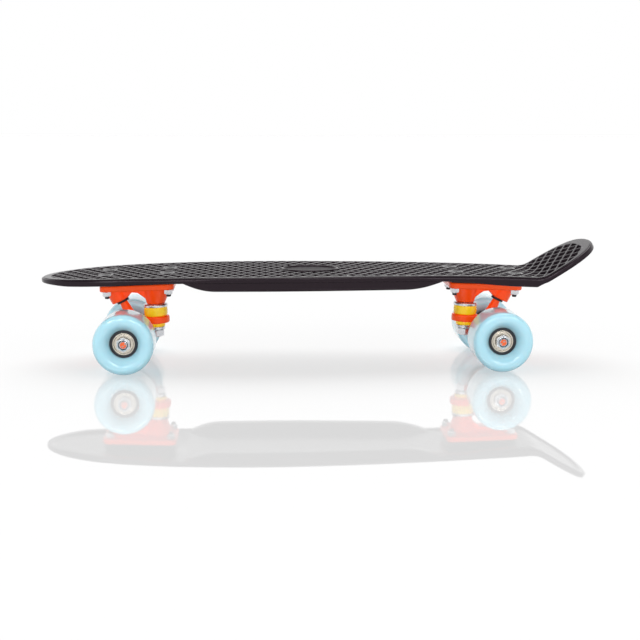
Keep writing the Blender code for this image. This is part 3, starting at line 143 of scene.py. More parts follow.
# Rails
RAIL_FLAT_START = 0.0893
RAIL_FLAT_END = 0.2733
RAIL_FRONT_RAMP = 0.033
RAIL_REAR_RAMP = 0.0405
RAIL_DEPTH = 0.0143
RAIL_WIDTH = 0.0140
RAIL_EDGE_INSET = 0.0014
RAIL_EDGE_RADIUS = 0.0026
RAIL_IN_PANEL = 0.0015

# Truck pads
DECK_AT_TRUCK = 0.0112
PAD_INSET = 0.0016
PAD_IN_PANEL = 0.0012

# Wheels and bearings
WHEEL_WIDTH = 0.045
WHEEL_LIP_RADIUS = 0.0062
WHEEL_STEPS = 96
CORE_STEPS = 80
TRACK_OUTSIDE = 0.150
DISH_DEPTH = 0.0095
CORE_RADIUS = 0.0135
CORE_WEB_BORE_RADIUS = 0.008
BEARING_RADIUS = 0.011
BEARING_BORE_RADIUS = 0.0043
BEARING_WIDTH = 0.007
BEARING_SPACING = 0.010
BEARING_SINK = 0.0010

# Axle
AXLE_RADIUS = 0.004
AXLE_STICKS_OUT = 0.0009
AXLE_NUT_ACROSS = 0.0127
AXLE_NUT_HEIGHT = 0.0048
AXLE_NUT_SOCKET = 0.0048
SPEED_WASHER_RADIUS = 0.0056
SPEED_WASHER_THICKNESS = 0.0007
THREAD_LENGTH = 0.008

# Threads, as (pitch, depth), and the rings in one pitch
COARSE_THREAD = (0.00106, 0.0004)
FINE_THREAD = (0.0008, 0.0003)
THREAD_ROWS = 6

# Truck, in its own frame: origin on the axle, x outward to the board's end, z square to the baseplate
TRUCK_HEIGHT = 0.0517
PLATE_INNER_X = -0.0487
PLATE_LENGTH = 0.0740
PLATE_WIDTH = 0.056
PLATE_THICKNESS = 0.0056
PLATE_CORNER = 0.007
PLATE_RIM = 0.0009
PLATE_TRIM = 0.0012
WEB_HALF_WIDTH = 0.0065
HOLE_SPACING_LENGTH = 0.061
HOLE_SPACING_WIDTH = 0.0413
HOLES_MIDDLE_X = -0.0122

KINGPIN_X = -0.0274
KINGPIN_RADIUS = 0.00475
KINGPIN_HEAD_ACROSS = 0.0142
KINGPIN_HEAD_HEIGHT = 0.0058
KINGPIN_END_Z = -0.0051
KINGPIN_THREAD_TOP = 0.0095
KINGPIN_NUT_ACROSS = 0.0142
KINGPIN_NUT_HEIGHT = 0.0062
KINGPIN_BOSS_BOTTOM_Z = 0.0294
KINGPIN_BOSS_BOTTOM_RADIUS = 0.00925
KINGPIN_BOSS_TOP_RADIUS = 0.0158
KINGPIN_BOSS_LEAN = 0.0024
KINGPIN_BOSS_SHIFT = 0.0005

PIVOT_BALL_X = 0.0063
PIVOT_BALL_Z = 0.0359
PIVOT_LEAN = radians(24.6)
PIVOT_BALL_RADIUS = 0.0038
PIVOT_BOSS_RADIUS = 0.0092
PIVOT_FACE_FROM_BALL = 0.0019
PIVOT_BOSS_SHIFT = 0.0019
CUP_RADIUS = 0.0060
CUP_RIM_RADIUS = 0.0064
CUP_RIM_THICKNESS = 0.0020
CUP_DEPTH_BEHIND_BALL = 0.0062
CUP_MOUTH_RADIUS = 0.0050

RING_Z = 0.0132
RING_THICKNESS = 0.0070
RING_RADIUS = 0.0137
RING_BORE_RADIUS = 0.0066
RING_SEAT_DEPTH = 0.0014
UPPER_SEAT_RADIUS = 0.0100
LOWER_SEAT_RADIUS = 0.0076

UPPER_BUSHING_RADIUS = 0.0119
LOWER_BUSHING_RADIUS = 0.0090
LOWER_BUSHING_HEIGHT = 0.0040
LOWER_BUSHING_FOOT = 0.0012
WASHER_SHEET = 0.0013
UPPER_WASHER_RADIUS = 0.0123
UPPER_WASHER_SKIRT = 0.0031
LOWER_WASHER_RADIUS = 0.00875
LOWER_WASHER_HEIGHT = 0.0031

BEAM_LENGTH = 0.079
BEAM_END_RADIUS = 0.0068
BEAM_MIDDLE_RADIUS = 0.0098
STEM_RADIUS_LOW = 0.0072

# Soft corners of the castings
CAST_VOXEL = 0.0005
CAST_PASSES = 12

# Deck bolts
BOLT_RADIUS = 0.0025
BOLT_HEAD_RADIUS = 0.0049
BOLT_HEAD_HEIGHT = 0.0029
BOLT_HEAD_SINK = 0.0002
BOLT_STICKS_OUT = 0.0021
BOLT_NUT_ACROSS = 0.0080
BOLT_NUT_HEIGHT = 0.0048
BOLT_NUT_SOCKET = 0.0029
RECESS_TURN = 0.5

# The share of a side that a rounded corner may take up
CORNER_SHARE = 0.48

# Steps round a turned piece
FINE = 64
ROUND = 40
SMALL = 24

# Values that follow from the ones above
HALF_BASE = (REAR_AXLE_X - FRONT_AXLE_X) / 2
TILT = atan(3 * CAMBER_DROP / HALF_BASE)
NOSE_X = FRONT_AXLE_X - NOSE_OVERHANG
MIDDLE_X = FRONT_AXLE_X + HALF_BASE
KICK_X = REAR_AXLE_X + KICK_FROM_REAR_AXLE
TAIL_X = KICK_X + TAIL_LENGTH
PAD_PLANE_Z = WHEEL_RADIUS + TRUCK_HEIGHT / cos(TILT)
DECK_TOP_Z = PAD_PLANE_Z + DECK_AT_TRUCK / cos(TILT) + CAMBER_DROP
PLATE_BOTTOM_Z = TRUCK_HEIGHT - PLATE_THICKNESS - FIT
PLATE_TOP_Z = TRUCK_HEIGHT - FIT
BADGE_X = FRONT_AXLE_X + BADGE_FROM_FRONT_AXLE
BADGE_RIM_SHARE = BADGE_RIM / (BADGE_WIDTH / 2)
RAIL_START_X = FRONT_AXLE_X + RAIL_FLAT_START
RAIL_END_X = FRONT_AXLE_X + RAIL_FLAT_END
RING_TOP = RING_Z + RING_THICKNESS / 2
RING_BOTTOM = RING_Z - RING_THICKNESS / 2
KINGPIN_BORE = KINGPIN_RADIUS + FIT
KINGPIN_NUT_TOP = RING_BOTTOM - LOWER_BUSHING_HEIGHT - LOWER_WASHER_HEIGHT - FIT
BOLT_TOP_Z = TRUCK_HEIGHT + DECK_AT_TRUCK - BOLT_HEAD_SINK
BOLT_END_Z = PLATE_BOTTOM_Z - FIT - BOLT_NUT_HEIGHT - BOLT_STICKS_OUT
BOLTS = [(HOLES_MIDDLE_X + x * HOLE_SPACING_LENGTH / 2, y * HOLE_SPACING_WIDTH / 2)
         for x in (-1, 1) for y in (-1, 1)]
PIVOT_BALL = Vector((PIVOT_BALL_X, 0, PIVOT_BALL_Z))
PIVOT_DOWN = Vector((-sin(PIVOT_LEAN), 0, -cos(PIVOT_LEAN)))
PIVOT_ACROSS = Vector((cos(PIVOT_LEAN), 0, -sin(PIVOT_LEAN)))
PIVOT_BOSS_MIDDLE = PIVOT_BOSS_SHIFT * PIVOT_ACROSS
TRUCKS = (("front", FRONT_AXLE_X, -1), ("rear", REAR_AXLE_X, 1))

# Bearings along the axle, from the truck's middle: each has an outer and an inner face
OUTER_BEARING = (TRACK_OUTSIDE / 2 - DISH_DEPTH - BEARING_SINK,
                 TRACK_OUTSIDE / 2 - DISH_DEPTH - BEARING_SINK - BEARING_WIDTH)
INNER_BEARING_FACE = OUTER_BEARING[0] - 2 * BEARING_WIDTH - BEARING_SPACING
INNER_BEARING = (INNER_BEARING_FACE + BEARING_WIDTH, INNER_BEARING_FACE)
AXLE_NUT_Z = OUTER_BEARING[0] + FIT + SPEED_WASHER_THICKNESS
AXLE_END = AXLE_NUT_Z + AXLE_NUT_HEIGHT + AXLE_STICKS_OUT

# Turns about an axis
UPSIDE_DOWN = Matrix.Rotation(pi, 4, "X")
FACE_ABOUT = Matrix.Rotation(pi, 4, "Z")
LAID_DOWN = Matrix.Rotation(pi / 2, 4, "X")


# Materials

def fill(node, inputs):
    """Set each of a node's inputs to a value, or link it to a socket."""
    for key, value in inputs.items():
        if isinstance(value, bpy.types.NodeSocket):
            node.id_data.links.new(value, node.inputs[key])
        else:
            node.inputs[key].default_value = value


def add_node(tree, kind, inputs=None, **settings):
    """The outputs of a new node."""
    node = tree.nodes.new(kind)
    for key, value in settings.items():
        setattr(node, key, value)
    fill(node, inputs or {})
    return node.outputs


def noise(tree, scale, detail):
    """A noise over a piece; scale is in features per metre."""
    where = add_node(tree, "ShaderNodeTexCoord")["Object"]
    return add_node(tree, "ShaderNodeTexNoise", {"Vector": where, "Scale": scale, "Detail": detail})["Fac"]


def spread(tree, value, band, low=0.0, high=1.0, **settings):
    """Carry a value from its band to the range from low to high."""
    ends = {"From Min": band[0], "From Max": band[1], "To Min": low, "To Max": high}
    return add_node(tree, "ShaderNodeMapRange", {"Value": value, **ends}, **settings)[0]


def blended(tree, share, colour, other):
    """A colour that turns into the other one as the share goes from 0 to 1."""
    mix = add_node(tree, "ShaderNodeMix", {"Factor": share, "A": colour, "B": other}, data_type="RGBA")
    return mix["Result"]


def new_material(name, values):
    """A material, its node tree and its Principled shader with these values on it."""
    made = bpy.data.materials.new(name)
    made.use_nodes = True
    shader = made.node_tree.nodes["Principled BSDF"]
    fill(shader, values)
    return made, made.node_tree, shader


def grained(name, colour, other, grain, bump, rough_low, rough_high, values, mottle=6.0):
    """A surface whose colour and roughness wander a little and whose skin has a fine grain.

    grain and mottle are in features per centimetre; bump is the grain's height in metres.
    """
    made, tree, shader = new_material(name, values)
    broad = noise(tree, mottle * 100, 3.0)
    fine = noise(tree, grain * 100, 2.0)
    fill(shader, {
        "Base Color": blended(tree, broad, (*colour, 1), (*other, 1)),
        "Roughness": spread(tree, broad, NOISE_BAND, rough_low, rough_high),
        "Normal": add_node(tree, "ShaderNodeBump", {"Height": fine, "Distance": bump, "Strength": 1.0})[0]})
    return made


def worn_paint():
    """Truck paint on the axle's ends, rubbed through to the steel in patches."""
    made, tree, shader = new_material("worn_paint", {"Roughness": WORN_ROUGHNESS})
    bare = spread(tree, noise(tree, WEAR_SCALE, 4.0), WEAR_BAND)
    fill(shader, {"Base Color": blended(tree, bare, DULL_PAINT, BARE_STEEL), "Metallic": bare})
    return made


# Where a noise's values lie, and the wear on the axle's ends
NOISE_BAND = (0.3, 0.7)
WEAR_BAND = (0.54, 0.60)
WEAR_SCALE = 420.0
WORN_ROUGHNESS = 0.36
DULL_PAINT = (0.86, 0.12, 0.02, 1)
BARE_STEEL = (0.42, 0.38, 0.36, 1)

# Two colours, grain, bump, two roughnesses, values on the shader and, where it is unusual, the mottle
FINISHES = {
    "deck_plastic": ((0.0110, 0.0065, 0.0095), (0.0145, 0.0090, 0.0125), 26, 0.000003, 0.17, 0.24, {
        "Specular IOR Level": 0.20, "Specular Tint": (1.0, 0.87, 0.95, 1.0)}),
    "badge_plastic": ((0.0110, 0.0065, 0.0095), (0.0150, 0.0095, 0.0130), 34, 0.00002, 0.52, 0.60, {
        "Specular IOR Level": 0.24}),
    "truck_paint": ((0.98, 0.074, 0.004), (1.0, 0.090, 0.006), 14, 0.00002, 0.20, 0.28, {
        "Specular IOR Level": 0.22, "Coat Weight": 0.16, "Coat Roughness": 0.06}),
    "zinc_steel": ((0.70, 0.71, 0.73), (0.60, 0.61, 0.64), 30, 0.00001, 0.20, 0.34, {"Metallic": 1.0}),
    "bearing_steel": ((0.66, 0.60, 0.50), (0.58, 0.54, 0.48), 20, 0.000004, 0.14, 0.22, {"Metallic": 1.0}),
    "black_steel": ((0.022, 0.021, 0.024), (0.035, 0.034, 0.037), 30, 0.00001, 0.34, 0.46, {
        "Metallic": 0.35, "Specular IOR Level": 0.5}),
    "bushing_urethane": ((1.0, 0.62, 0.010), (1.0, 0.70, 0.014), 8, 0.00001, 0.20, 0.28, {
        "Specular IOR Level": 0.5, "Subsurface Weight": 0.35, "Subsurface Radius": (1.0, 0.5, 0.1),
        "Subsurface Scale": 0.002}),
    "wheel_urethane": ((0.425, 0.725, 0.830), (0.465, 0.745, 0.845), 5, 0.000004, 0.10, 0.14, {
        "Specular IOR Level": 0.5, "Coat Weight": 0.5, "Coat Roughness": 0.06, "Subsurface Weight": 0.55,
        "Subsurface Radius": (0.55, 0.95, 1.0), "Subsurface Scale": 0.005}, 1.5),
    "core_plastic": ((0.012, 0.014, 0.019), (0.018, 0.020, 0.026), 20, 0.00001, 0.34, 0.44, {
        "Specular IOR Level": 0.45}),
    "cup_rubber": ((0.012, 0.012, 0.012), (0.02, 0.02, 0.02), 24, 0.00002, 0.5, 0.62, {
        "Specular IOR Level": 0.35}),
}
MATERIALS = {name: grained(name, *finish) for name, finish in FINISHES.items()}
MATERIALS["worn_paint"] = worn_paint()


# Mesh tools

def mesh_from(bm):
    bmesh.ops.recalc_face_normals(bm, faces=bm.faces)
    mesh = bpy.data.meshes.new("mesh")
    bm.to_mesh(mesh)
    bm.free()
    return mesh


def tool(mesh, matrix=None):
    """An object that takes part in a Boolean and is removed once that is worked out."""
    obj = bpy.data.objects.new("tool", mesh)
    SCENE.collection.objects.link(obj)
    if matrix is not None:
        obj.matrix_world = matrix
    return obj


def combine(obj, mesh, matrix=None, operation="DIFFERENCE"):
    """Cut a mesh at its place out of an object, or do another Boolean with them."""
    step = obj.modifiers.new("Boolean", "BOOLEAN")
    step.operation = operation
    step.solver = "EXACT"
    step.object = tool(mesh, matrix)


def evaluated(obj):
    """The object's mesh with its modifiers worked out. It and what it was combined with are removed."""
    bpy.context.view_layer.update()
    graph = bpy.context.evaluated_depsgraph_get()
    mesh = bpy.data.meshes.new_from_object(obj.evaluated_get(graph))
    for used in [obj] + [step.object for step in obj.modifiers if step.type == "BOOLEAN"]:
        bpy.data.objects.remove(used)
    return mesh


def cast(obj):
    """Turn joined shapes into one casting, with the soft corners that a mould leaves."""
    remesh = obj.modifiers.new("Cast", "REMESH")
    remesh.mode = "VOXEL"
    remesh.voxel_size = CAST_VOXEL
    soften = obj.modifiers.new("Soften", "SMOOTH")
    soften.factor = 0.5
    soften.iterations = CAST_PASSES
    return evaluated(obj)


def bent(first, corner, last, steps):
    """Points of a curve that leaves first and reaches last on their straight lines to the corner."""
    return [first * (1 - t) ** 2 + corner * 2 * t * (1 - t) + last * t ** 2
            for t in (k / steps for k in range(steps + 1))]


def rounded(profile, steps=4):
    """A profile of (x, z) points, in which a third number rounds that corner by so much."""
    points = []
    for i, (x, z, *rounding) in enumerate(profile):
        if not rounding:
            points.append((x, z))
            continue
        corner = Vector((x, z))
        before = Vector(profile[i - 1][:2]) - corner
        after = Vector(profile[i + 1][:2]) - corner
        reach = min(rounding[0], CORNER_SHARE * before.length, CORNER_SHARE * after.length)
        start = corner + before.normalized() * reach
        end = corner + after.normalized() * reach
        points += [tuple(point) for point in bent(start, corner, end, steps)]
    return points


def turned(profile, turns=FINE, steps=4):
    """Turn a rounded profile of (radius, height) about z, closed through the axis or back to its start."""
    bm = bmesh.new()
    rings = []
    for radius, height in rounded(profile, steps):
        angles = [2 * pi * k / turns for k in range(turns)] if radius else [0]
        rings.append([bm.verts.new((radius * cos(a), radius * sin(a), height)) for a in angles])
    if profile[0][0] or profile[-1][0]:
        rings.append(rings[0])
    for upper, lower in zip(rings, rings[1:]):
        for k in range(turns):
            j = (k + 1) % turns
            places = ((upper, k), (upper, j), (lower, j), (lower, k))
            corners = list(dict.fromkeys(ring[i % len(ring)] for ring, i in places))
            if len(corners) > 2:
                bm.faces.new(corners)
    return mesh_from(bm)


def rod(radius, bottom, top, turns=FINE):
    return turned([(0, top), (radius, top), (radius, bottom), (0, bottom)], turns)


def lofted(*stacks):
    """Closed shapes, each from a stack of rings of points: skinned ring to ring, with a cap at both ends."""
    bm = bmesh.new()
    for stack in stacks:
        rings = [[bm.verts.new(point) for point in ring] for ring in stack]
        for upper, lower in zip(rings, rings[1:]):
            for i in range(len(upper)):
                j = (i + 1) % len(upper)
                bm.faces.new((upper[i], upper[j], lower[j], lower[i]))
        bm.faces.new(rings[0])
        bm.faces.new(rings[-1])
    return mesh_from(bm)


def hexagon(across, bottom, top):
    """A hexagonal prism; across is the distance between its flats."""
    radius = across / 2 / cos(pi / 6)
    bm = bmesh.new()
    bmesh.ops.create_cone(bm, cap_ends=True, segments=6, radius1=radius, radius2=radius, depth=top - bottom,
                          matrix=shifted(z=(top + bottom) / 2))
    return mesh_from(bm)


def hex_nut(across, height, bore, chamfer, crown=0, socket=0):
    """A hexagon nut with turned chamfers and its bore; a crown and a socket hold a lock ring at its top."""
    flat_top = height - crown
    nut = tool(hexagon(across, 0, flat_top))
    face = across / 2 * 0.97
    wide = across / 2 / cos(pi / 6) + 2 * HAIR
    combine(nut, turned([
        (0, flat_top + HAIR), (face, flat_top + HAIR), (wide, flat_top - chamfer), (wide, chamfer),
        (face, -HAIR), (0, -HAIR)], ROUND), operation="INTERSECT")
    if crown:
        outer = across / 2 * 0.9
        foot = flat_top - 0.0003
        combine(nut, turned([
            (0, height), (0.55 * outer, height), (0.84 * outer, height, 0.0004),
            (outer, height - 0.55 * crown, 0.0010), (outer, foot), (0, foot)], ROUND), operation="UNION")
    mouth = socket or bore + BORE_CHAMFER
    depth = crown + BORE_CHAMFER if socket else BORE_CHAMFER
    combine(nut, turned([
        (0, height + PAST), (mouth, height + PAST), (mouth, height - depth),
        (bore, height - depth - 2 * HAIR), (bore, BORE_CHAMFER), (bore + BORE_CHAMFER, 0),
        (bore + BORE_CHAMFER, -PAST), (0, -PAST)], ROUND))
    return evaluated(nut)


def thread(radius, bottom, top, pitch, depth, turns=ROUND, tip=0.0006):
    """A threaded rod end: its skin follows a helix and its tip at the bottom is chamfered."""
    rows = int((top - bottom) / pitch * THREAD_ROWS)
    rings = []
    for row in range(rows + 1):
        z = bottom + (top - bottom) * row / rows
        chamfer = tip * 0.7 * (1 - min(1, (z - bottom) / tip))
        ring = []
        for turn in (k / turns for k in range(turns)):
            wave = abs(2 * ((z / pitch - turn) % 1) - 1)
            r = radius - depth * wave - chamfer
            ring.append((r * cos(2 * pi * turn), r * sin(2 * pi * turn), z))
        rings.append(ring)
    return lofted(rings)


def plate(narrower, bottom, top, rim):
    """A plate like the truck's, narrower by so much all round, with round corners and rounded rims."""
    bm = bmesh.new()
    centre = shifted(PLATE_INNER_X + PLATE_LENGTH / 2, 0, (top + bottom) / 2)
    size = Matrix.Diagonal((PLATE_LENGTH - 2 * narrower, PLATE_WIDTH - 2 * narrower, top - bottom, 1))
    bmesh.ops.create_cube(bm, size=1, matrix=centre @ size)

    def rise(edge):
        return abs(edge.verts[0].co.z - edge.verts[1].co.z)

    uprights = [edge for edge in bm.edges if rise(edge) > (top - bottom) / 2]
    bmesh.ops.bevel(bm, geom=uprights, offset=PLATE_CORNER, segments=12, affect="EDGES", profile=0.5)
    if rim:
        rims = [edge for edge in bm.edges if rise(edge) < 1e-7]
        bmesh.ops.bevel(bm, geom=rims, offset=rim, segments=3, affect="EDGES", profile=0.5)
    return mesh_from(bm)


def hull(points):
    bm = bmesh.new()
    for point in points:
        bm.verts.new(point)
    result = bmesh.ops.convex_hull(bm, input=bm.verts)
    spare = result["geom_interior"] + result["geom_unused"]
    inside = {item for item in spare if isinstance(item, bmesh.types.BMVert)}
    bmesh.ops.delete(bm, geom=list(inside), context="VERTS")
    return mesh_from(bm)


def shifted(x=0, y=0, z=0):
    return Matrix.Translation((x, y, z))


def ball_points(radius, lowest):
    """Profile of a ball, from near its pole down to a latitude in degrees."""
    return [(radius * cos(radians(a)), radius * sin(radians(a))) for a in range(75, lowest - 1, -15)]


def add(name, mesh, finish, body, matrix=None, replaced=None, smooth=30):
    """Put a finished piece on its body. Where body is (parent, child, start, end), the piece's place is only
    baked into its mesh: it goes on neither body, and parent, child, start and end are not used.
    """
    mesh.shade_smooth()
    mesh.set_sharp_from_angle(angle=radians(smooth))
    obj = bpy.data.objects.new(name, mesh)
    SCENE.collection.objects.link(obj)
    if not mesh.materials:
        mesh.materials.append(MATERIALS[finish])
    if matrix is not None:
        obj.matrix_world = matrix
    if isinstance(body, tuple):
        parent, child, start, end = body
        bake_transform(obj)
        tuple(start)
        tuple(end)
    else:
        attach(obj, body)
    if replaced:
        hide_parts(replaced)


# Deck

def camber_height(s):
    return DECK_TOP_Z - CAMBER_DROP * (abs(s - MIDDLE_X) / HALF_BASE) ** 3


def camber_slope(s):
    run = (s - MIDDLE_X) / HALF_BASE
    return atan(-3 * CAMBER_DROP / HALF_BASE * run * abs(run))


def on_deck(s, y, h):
    """Carry a point of the flat deck, h above the rib tops, to its place on the bent deck."""
    start = camber_slope(KICK_X)
    turn = KICK_ANGLE - start
    depth = min(1, max(0, -h / LIP_DEPTH_REAR))
    radius = KICK_TOP_RADIUS + (KICK_UNDERSIDE_RADIUS - KICK_TOP_RADIUS) * depth
    reach = radius * tan(turn / 2)
    past = s - KICK_X
    kink = Vector((KICK_X, camber_height(KICK_X)))
    if past <= -reach:
        angle = camber_slope(s)
        base = Vector((s, camber_height(s)))
    elif past >= reach:
        angle = KICK_ANGLE
        base = kink + past * Vector((cos(angle), sin(angle)))
    else:
        angle = start + turn * (past + reach) / (2 * reach)
        before = kink - reach * Vector((cos(start), sin(start)))
        centre = before + radius * Vector((-sin(start), cos(start)))
        base = centre + radius * Vector((sin(angle), -cos(angle)))
    return Vector((base.x - h * sin(angle), y, base.y + h * cos(angle)))


def half_outline():
    """Half of the deck's plan, from the nose tip round the +y side to the tail tip."""
    half = DECK_WIDTH / 2
    shoulder_half = SHOULDER_WIDTH / 2
    tail_half = TAIL_WIDTH / 2
    shoulder_x = NOSE_X + SHOULDER_FROM_TIP
    widest_x = FRONT_AXLE_X + WIDEST_FROM_FRONT_AXLE
    to_widest = widest_x - shoulder_x
    to_kick = KICK_X - widest_x
    # Each stretch: its number of points, then the four points that draw its curve
    curves = (
        (30, (NOSE_X, 0), (NOSE_X, NOSE_ROUNDNESS),
         (shoulder_x - 0.54 * SHOULDER_FROM_TIP, 0.905 * shoulder_half), (shoulder_x, shoulder_half)),
        (14, (shoulder_x, shoulder_half),
         (shoulder_x + 0.32 * to_widest, shoulder_half + 0.78 * (half - shoulder_half)),
         (widest_x - 0.32 * to_widest, half), (widest_x, half)),
        (20, (widest_x, half), (widest_x + 0.25 * to_kick, half),
         (KICK_X - 0.36 * to_kick, 1.06 * tail_half), (KICK_X, tail_half)),
        (30, (KICK_X, tail_half), (KICK_X + 0.76 * TAIL_LENGTH, 1.03 * tail_half),
         (TAIL_X, TAIL_ROUNDNESS), (TAIL_X, 0)))
    points = []
    for count, *ends in curves:
        stretch = interpolate_bezier(*[Vector((x, y, 0)) for x, y in ends], count)
        points += stretch[1:] if points else stretch
    return [point.xy for point in points]


OUTLINE = half_outline()


def inset(distance):
    """The half outline moved inward by a distance, with its ends kept on the centre line."""
    moved = []
    for i, point in enumerate(OUTLINE):
        before = OUTLINE[i - 1] if i > 0 else Vector((point.x, -OUTLINE[1].y))
        after = OUTLINE[i + 1] if i < len(OUTLINE) - 1 else Vector((point.x, -OUTLINE[-2].y))
        run = (after - before).normalized()
        moved.append(point + distance * Vector((run.y, -run.x)))
    moved[0].y = 0
    moved[-1].y = 0
    return moved


def eased(start, end, x):
    """Rise from 0 to 1 between two places, level at both of them."""
    part = min(1, max(0, (x - start) / (end - start)))
    return part * part * (3 - 2 * part)


def changing(s, size, changes):
    """A size at one place along the deck, where each change is (from, to, size reached)."""
    for start, end, reached in changes:
        size += (reached - size) * eased(start, end, s)
    return size


def lip_depth(s):
    """The lip is shallow between the trucks, deeper near them and thinner again at both tips."""
    return changing(s, LIP_DEPTH_NOSE_TIP, (
        (NOSE_X, NOSE_X + 0.4 * NOSE_OVERHANG, LIP_DEPTH_FRONT),
        (FRONT_AXLE_X - 0.4 * NOSE_OVERHANG, FRONT_AXLE_X + 0.5 * NOSE_OVERHANG, LIP_DEPTH_MIDDLE),
        (REAR_AXLE_X - 0.060, KICK_X - 0.022, LIP_DEPTH_REAR),
        (KICK_X - 0.0065, KICK_X + 0.0005, LIP_DEPTH_TAIL)))


def edge_fall(s):
    """How far the top edge rolls over: round at the shoulders, sharper beside the rails and at both tips."""
    fall = changing(s, EDGE_FALL_TIPS, (
        (NOSE_X + 0.008, NOSE_X + 0.050, EDGE_FALL_SHOULDERS),
        (RAIL_START_X - RAIL_FRONT_RAMP, RAIL_START_X, EDGE_FALL_MIDDLE),
        (RAIL_END_X, RAIL_END_X + RAIL_REAR_RAMP, EDGE_FALL_SHOULDERS),
        (KICK_X + 0.010, TAIL_X - 0.020, EDGE_FALL_TIPS)))
    return min(fall, lip_depth(s) - BORDER_FALL - LIP_ROUNDING)


def deck_section(s):
    """Rings from the border, over the edge and under to the panel, as (inset from the plan, height)."""
    fall = edge_fall(s)
    low = -lip_depth(s)
    rings = [(inward * BORDER_WIDTH, -down * BORDER_FALL) for inward, down in BORDER_PROFILE]
    rings += [(EDGE_ROUNDING * (1 - sin(a)), -BORDER_FALL - fall * (1 - cos(a))) for a in QUARTER]
    rings += [(LIP_ROUNDING * (1 - cos(a)), low + LIP_ROUNDING * (1 - sin(a))) for a in QUARTER]
    return rings + [(LIP_WIDTH, low), (LIP_WIDTH + LIP_DRAFT, -PANEL_THICKNESS)]


def flat_deck():
    """The deck without its pits, laid flat: half of it lofted ring by ring and mirrored.

    Until the last step a point's height only says which ring it belongs to.
    """
    bm = bmesh.new()
    rings = [inset(distance) for distance, _ in deck_section(MIDDLE_X)]
    last = len(rings) - 1
    rows = [[bm.verts.new((p.x, 0, 0)) for p in rings[0]]]
    rows += [[bm.verts.new((p.x, p.y, -k)) for p in ring] for k, ring in enumerate(rings)]
    rows.append([bm.verts.new((p.x, 0, -last)) for p in rings[-1]])
    for upper, lower in zip(rows, rows[1:]):
        for i in range(len(upper) - 1):
            bm.faces.new((upper[i], upper[i + 1], lower[i + 1], lower[i]))
    bmesh.ops.remove_doubles(bm, verts=bm.verts, dist=WELD)
    mirrored = bmesh.ops.duplicate(bm, geom=[*bm.verts, *bm.edges, *bm.faces])["geom"]
    bmesh.ops.scale(bm, vec=(1, -1, 1), verts=[v for v in mirrored if isinstance(v, bmesh.types.BMVert)])
    bmesh.ops.reverse_faces(bm, faces=[f for f in mirrored if isinstance(f, bmesh.types.BMFace)])
    bmesh.ops.remove_doubles(bm, verts=bm.verts, dist=WELD)
    turn = tan((KICK_ANGLE - camber_slope(KICK_X)) / 2)
    stations = [KICK_X + KICK_TOP_RADIUS * turn * k / 6 for k in range(-6, 7)]
    stations += [KICK_X + KICK_UNDERSIDE_RADIUS * turn * k for k in (-1, -0.5, 0.5, 1)]
    count = int((KICK_X - SECTION_STEP - NOSE_X) / SECTION_STEP)
    stations += [NOSE_X + SECTION_STEP * k for k in range(1, count)]
    for station in stations:
        bmesh.ops.bisect_plane(bm, geom=[*bm.verts, *bm.edges, *bm.faces], plane_co=(station, 0, 0),
                               plane_no=(1, 0, 0), dist=5 * WELD)
    for vert in bm.verts:
        heights = [height for _, height in deck_section(vert.co.x)]
        ring = min(last - 1, int(-vert.co.z))
        part = -vert.co.z - ring
        vert.co.z = heights[ring] + part * (heights[ring + 1] - heights[ring])
    return mesh_from(bm)


def waffle_zone():
    """The region that the pits may fill, narrower at the nose and the tail."""
    rings = []
    for h, lean in WAFFLE_WALL:
        half = inset(BORDER_WIDTH + lean)
        for p in half:
            p.x += BORDER_EXTRA_NOSE * (1 - eased(NOSE_X, NOSE_X + 0.7 * NOSE_OVERHANG, p.x))
            p.x -= BORDER_EXTRA_TAIL * eased(KICK_X, TAIL_X, p.x)
        whole = half + [Vector((p.x, -p.y)) for p in reversed(half[1:-1])]
        rings.append([(p.x, p.y, h) for p in whole])
    return lofted(rings)


def cell_ring(offset):
    """A diamond of the lattice drawn in from its four rib lines by an offset, with its corners cut round."""
    half = Vector((DIAMOND_LENGTH / 2, DIAMOND_WIDTH / 2))
    across = half.x * half.y / half.length
    scale = 1 - offset / across
    tips = [Vector(tip) * scale for tip in ((half.x, 0), (0, half.y), (-half.x, 0), (0, -half.y))]
    points = []
    for i, tip in enumerate(tips):
        before = tips[i - 1] - tip
        after = tips[(i + 1) % 4] - tip
        cut = DIAMOND_CORNER * before.length
        points += bent(tip + before.normalized() * cut, tip, tip + after.normalized() * cut, 2)
    return points


def waffle_cells():
    """The air in the pits: one closed solid for each diamond of the lattice."""
    rings = [(cell_ring(0.00002), 0.002)]
    rings += [(cell_ring(RIB_BASE_HALF * width), -PIT_DEPTH * depth) for depth, width in RIB_PROFILE]
    cells = []
    columns = 2 * (int((TAIL_X - NOSE_X) / DIAMOND_LENGTH) + 3)
    rows = 2 * (int(DECK_WIDTH / DIAMOND_WIDTH) + 3)
    for i in range(-columns, columns):
        for j in range(-rows, rows):
            x = i * DIAMOND_LENGTH / 2
            y = j * DIAMOND_WIDTH / 2
            if (i + j) % 2 == 0 and abs(y) <= DECK_WIDTH / 2 and NOSE_X < x < TAIL_X:
                cells.append([[(x + p.x, y + p.y, h) for p in ring] for ring, h in rings])
    return lofted(*cells)


def oval(profile, length, width, turns=FINE):
    """A turned shape stretched to an oval; its radii are shares of the oval's half width."""
    mesh = turned(profile, turns)
    mesh.transform(Matrix.Diagonal((length / 2, width / 2, 1, 1)))
    return mesh


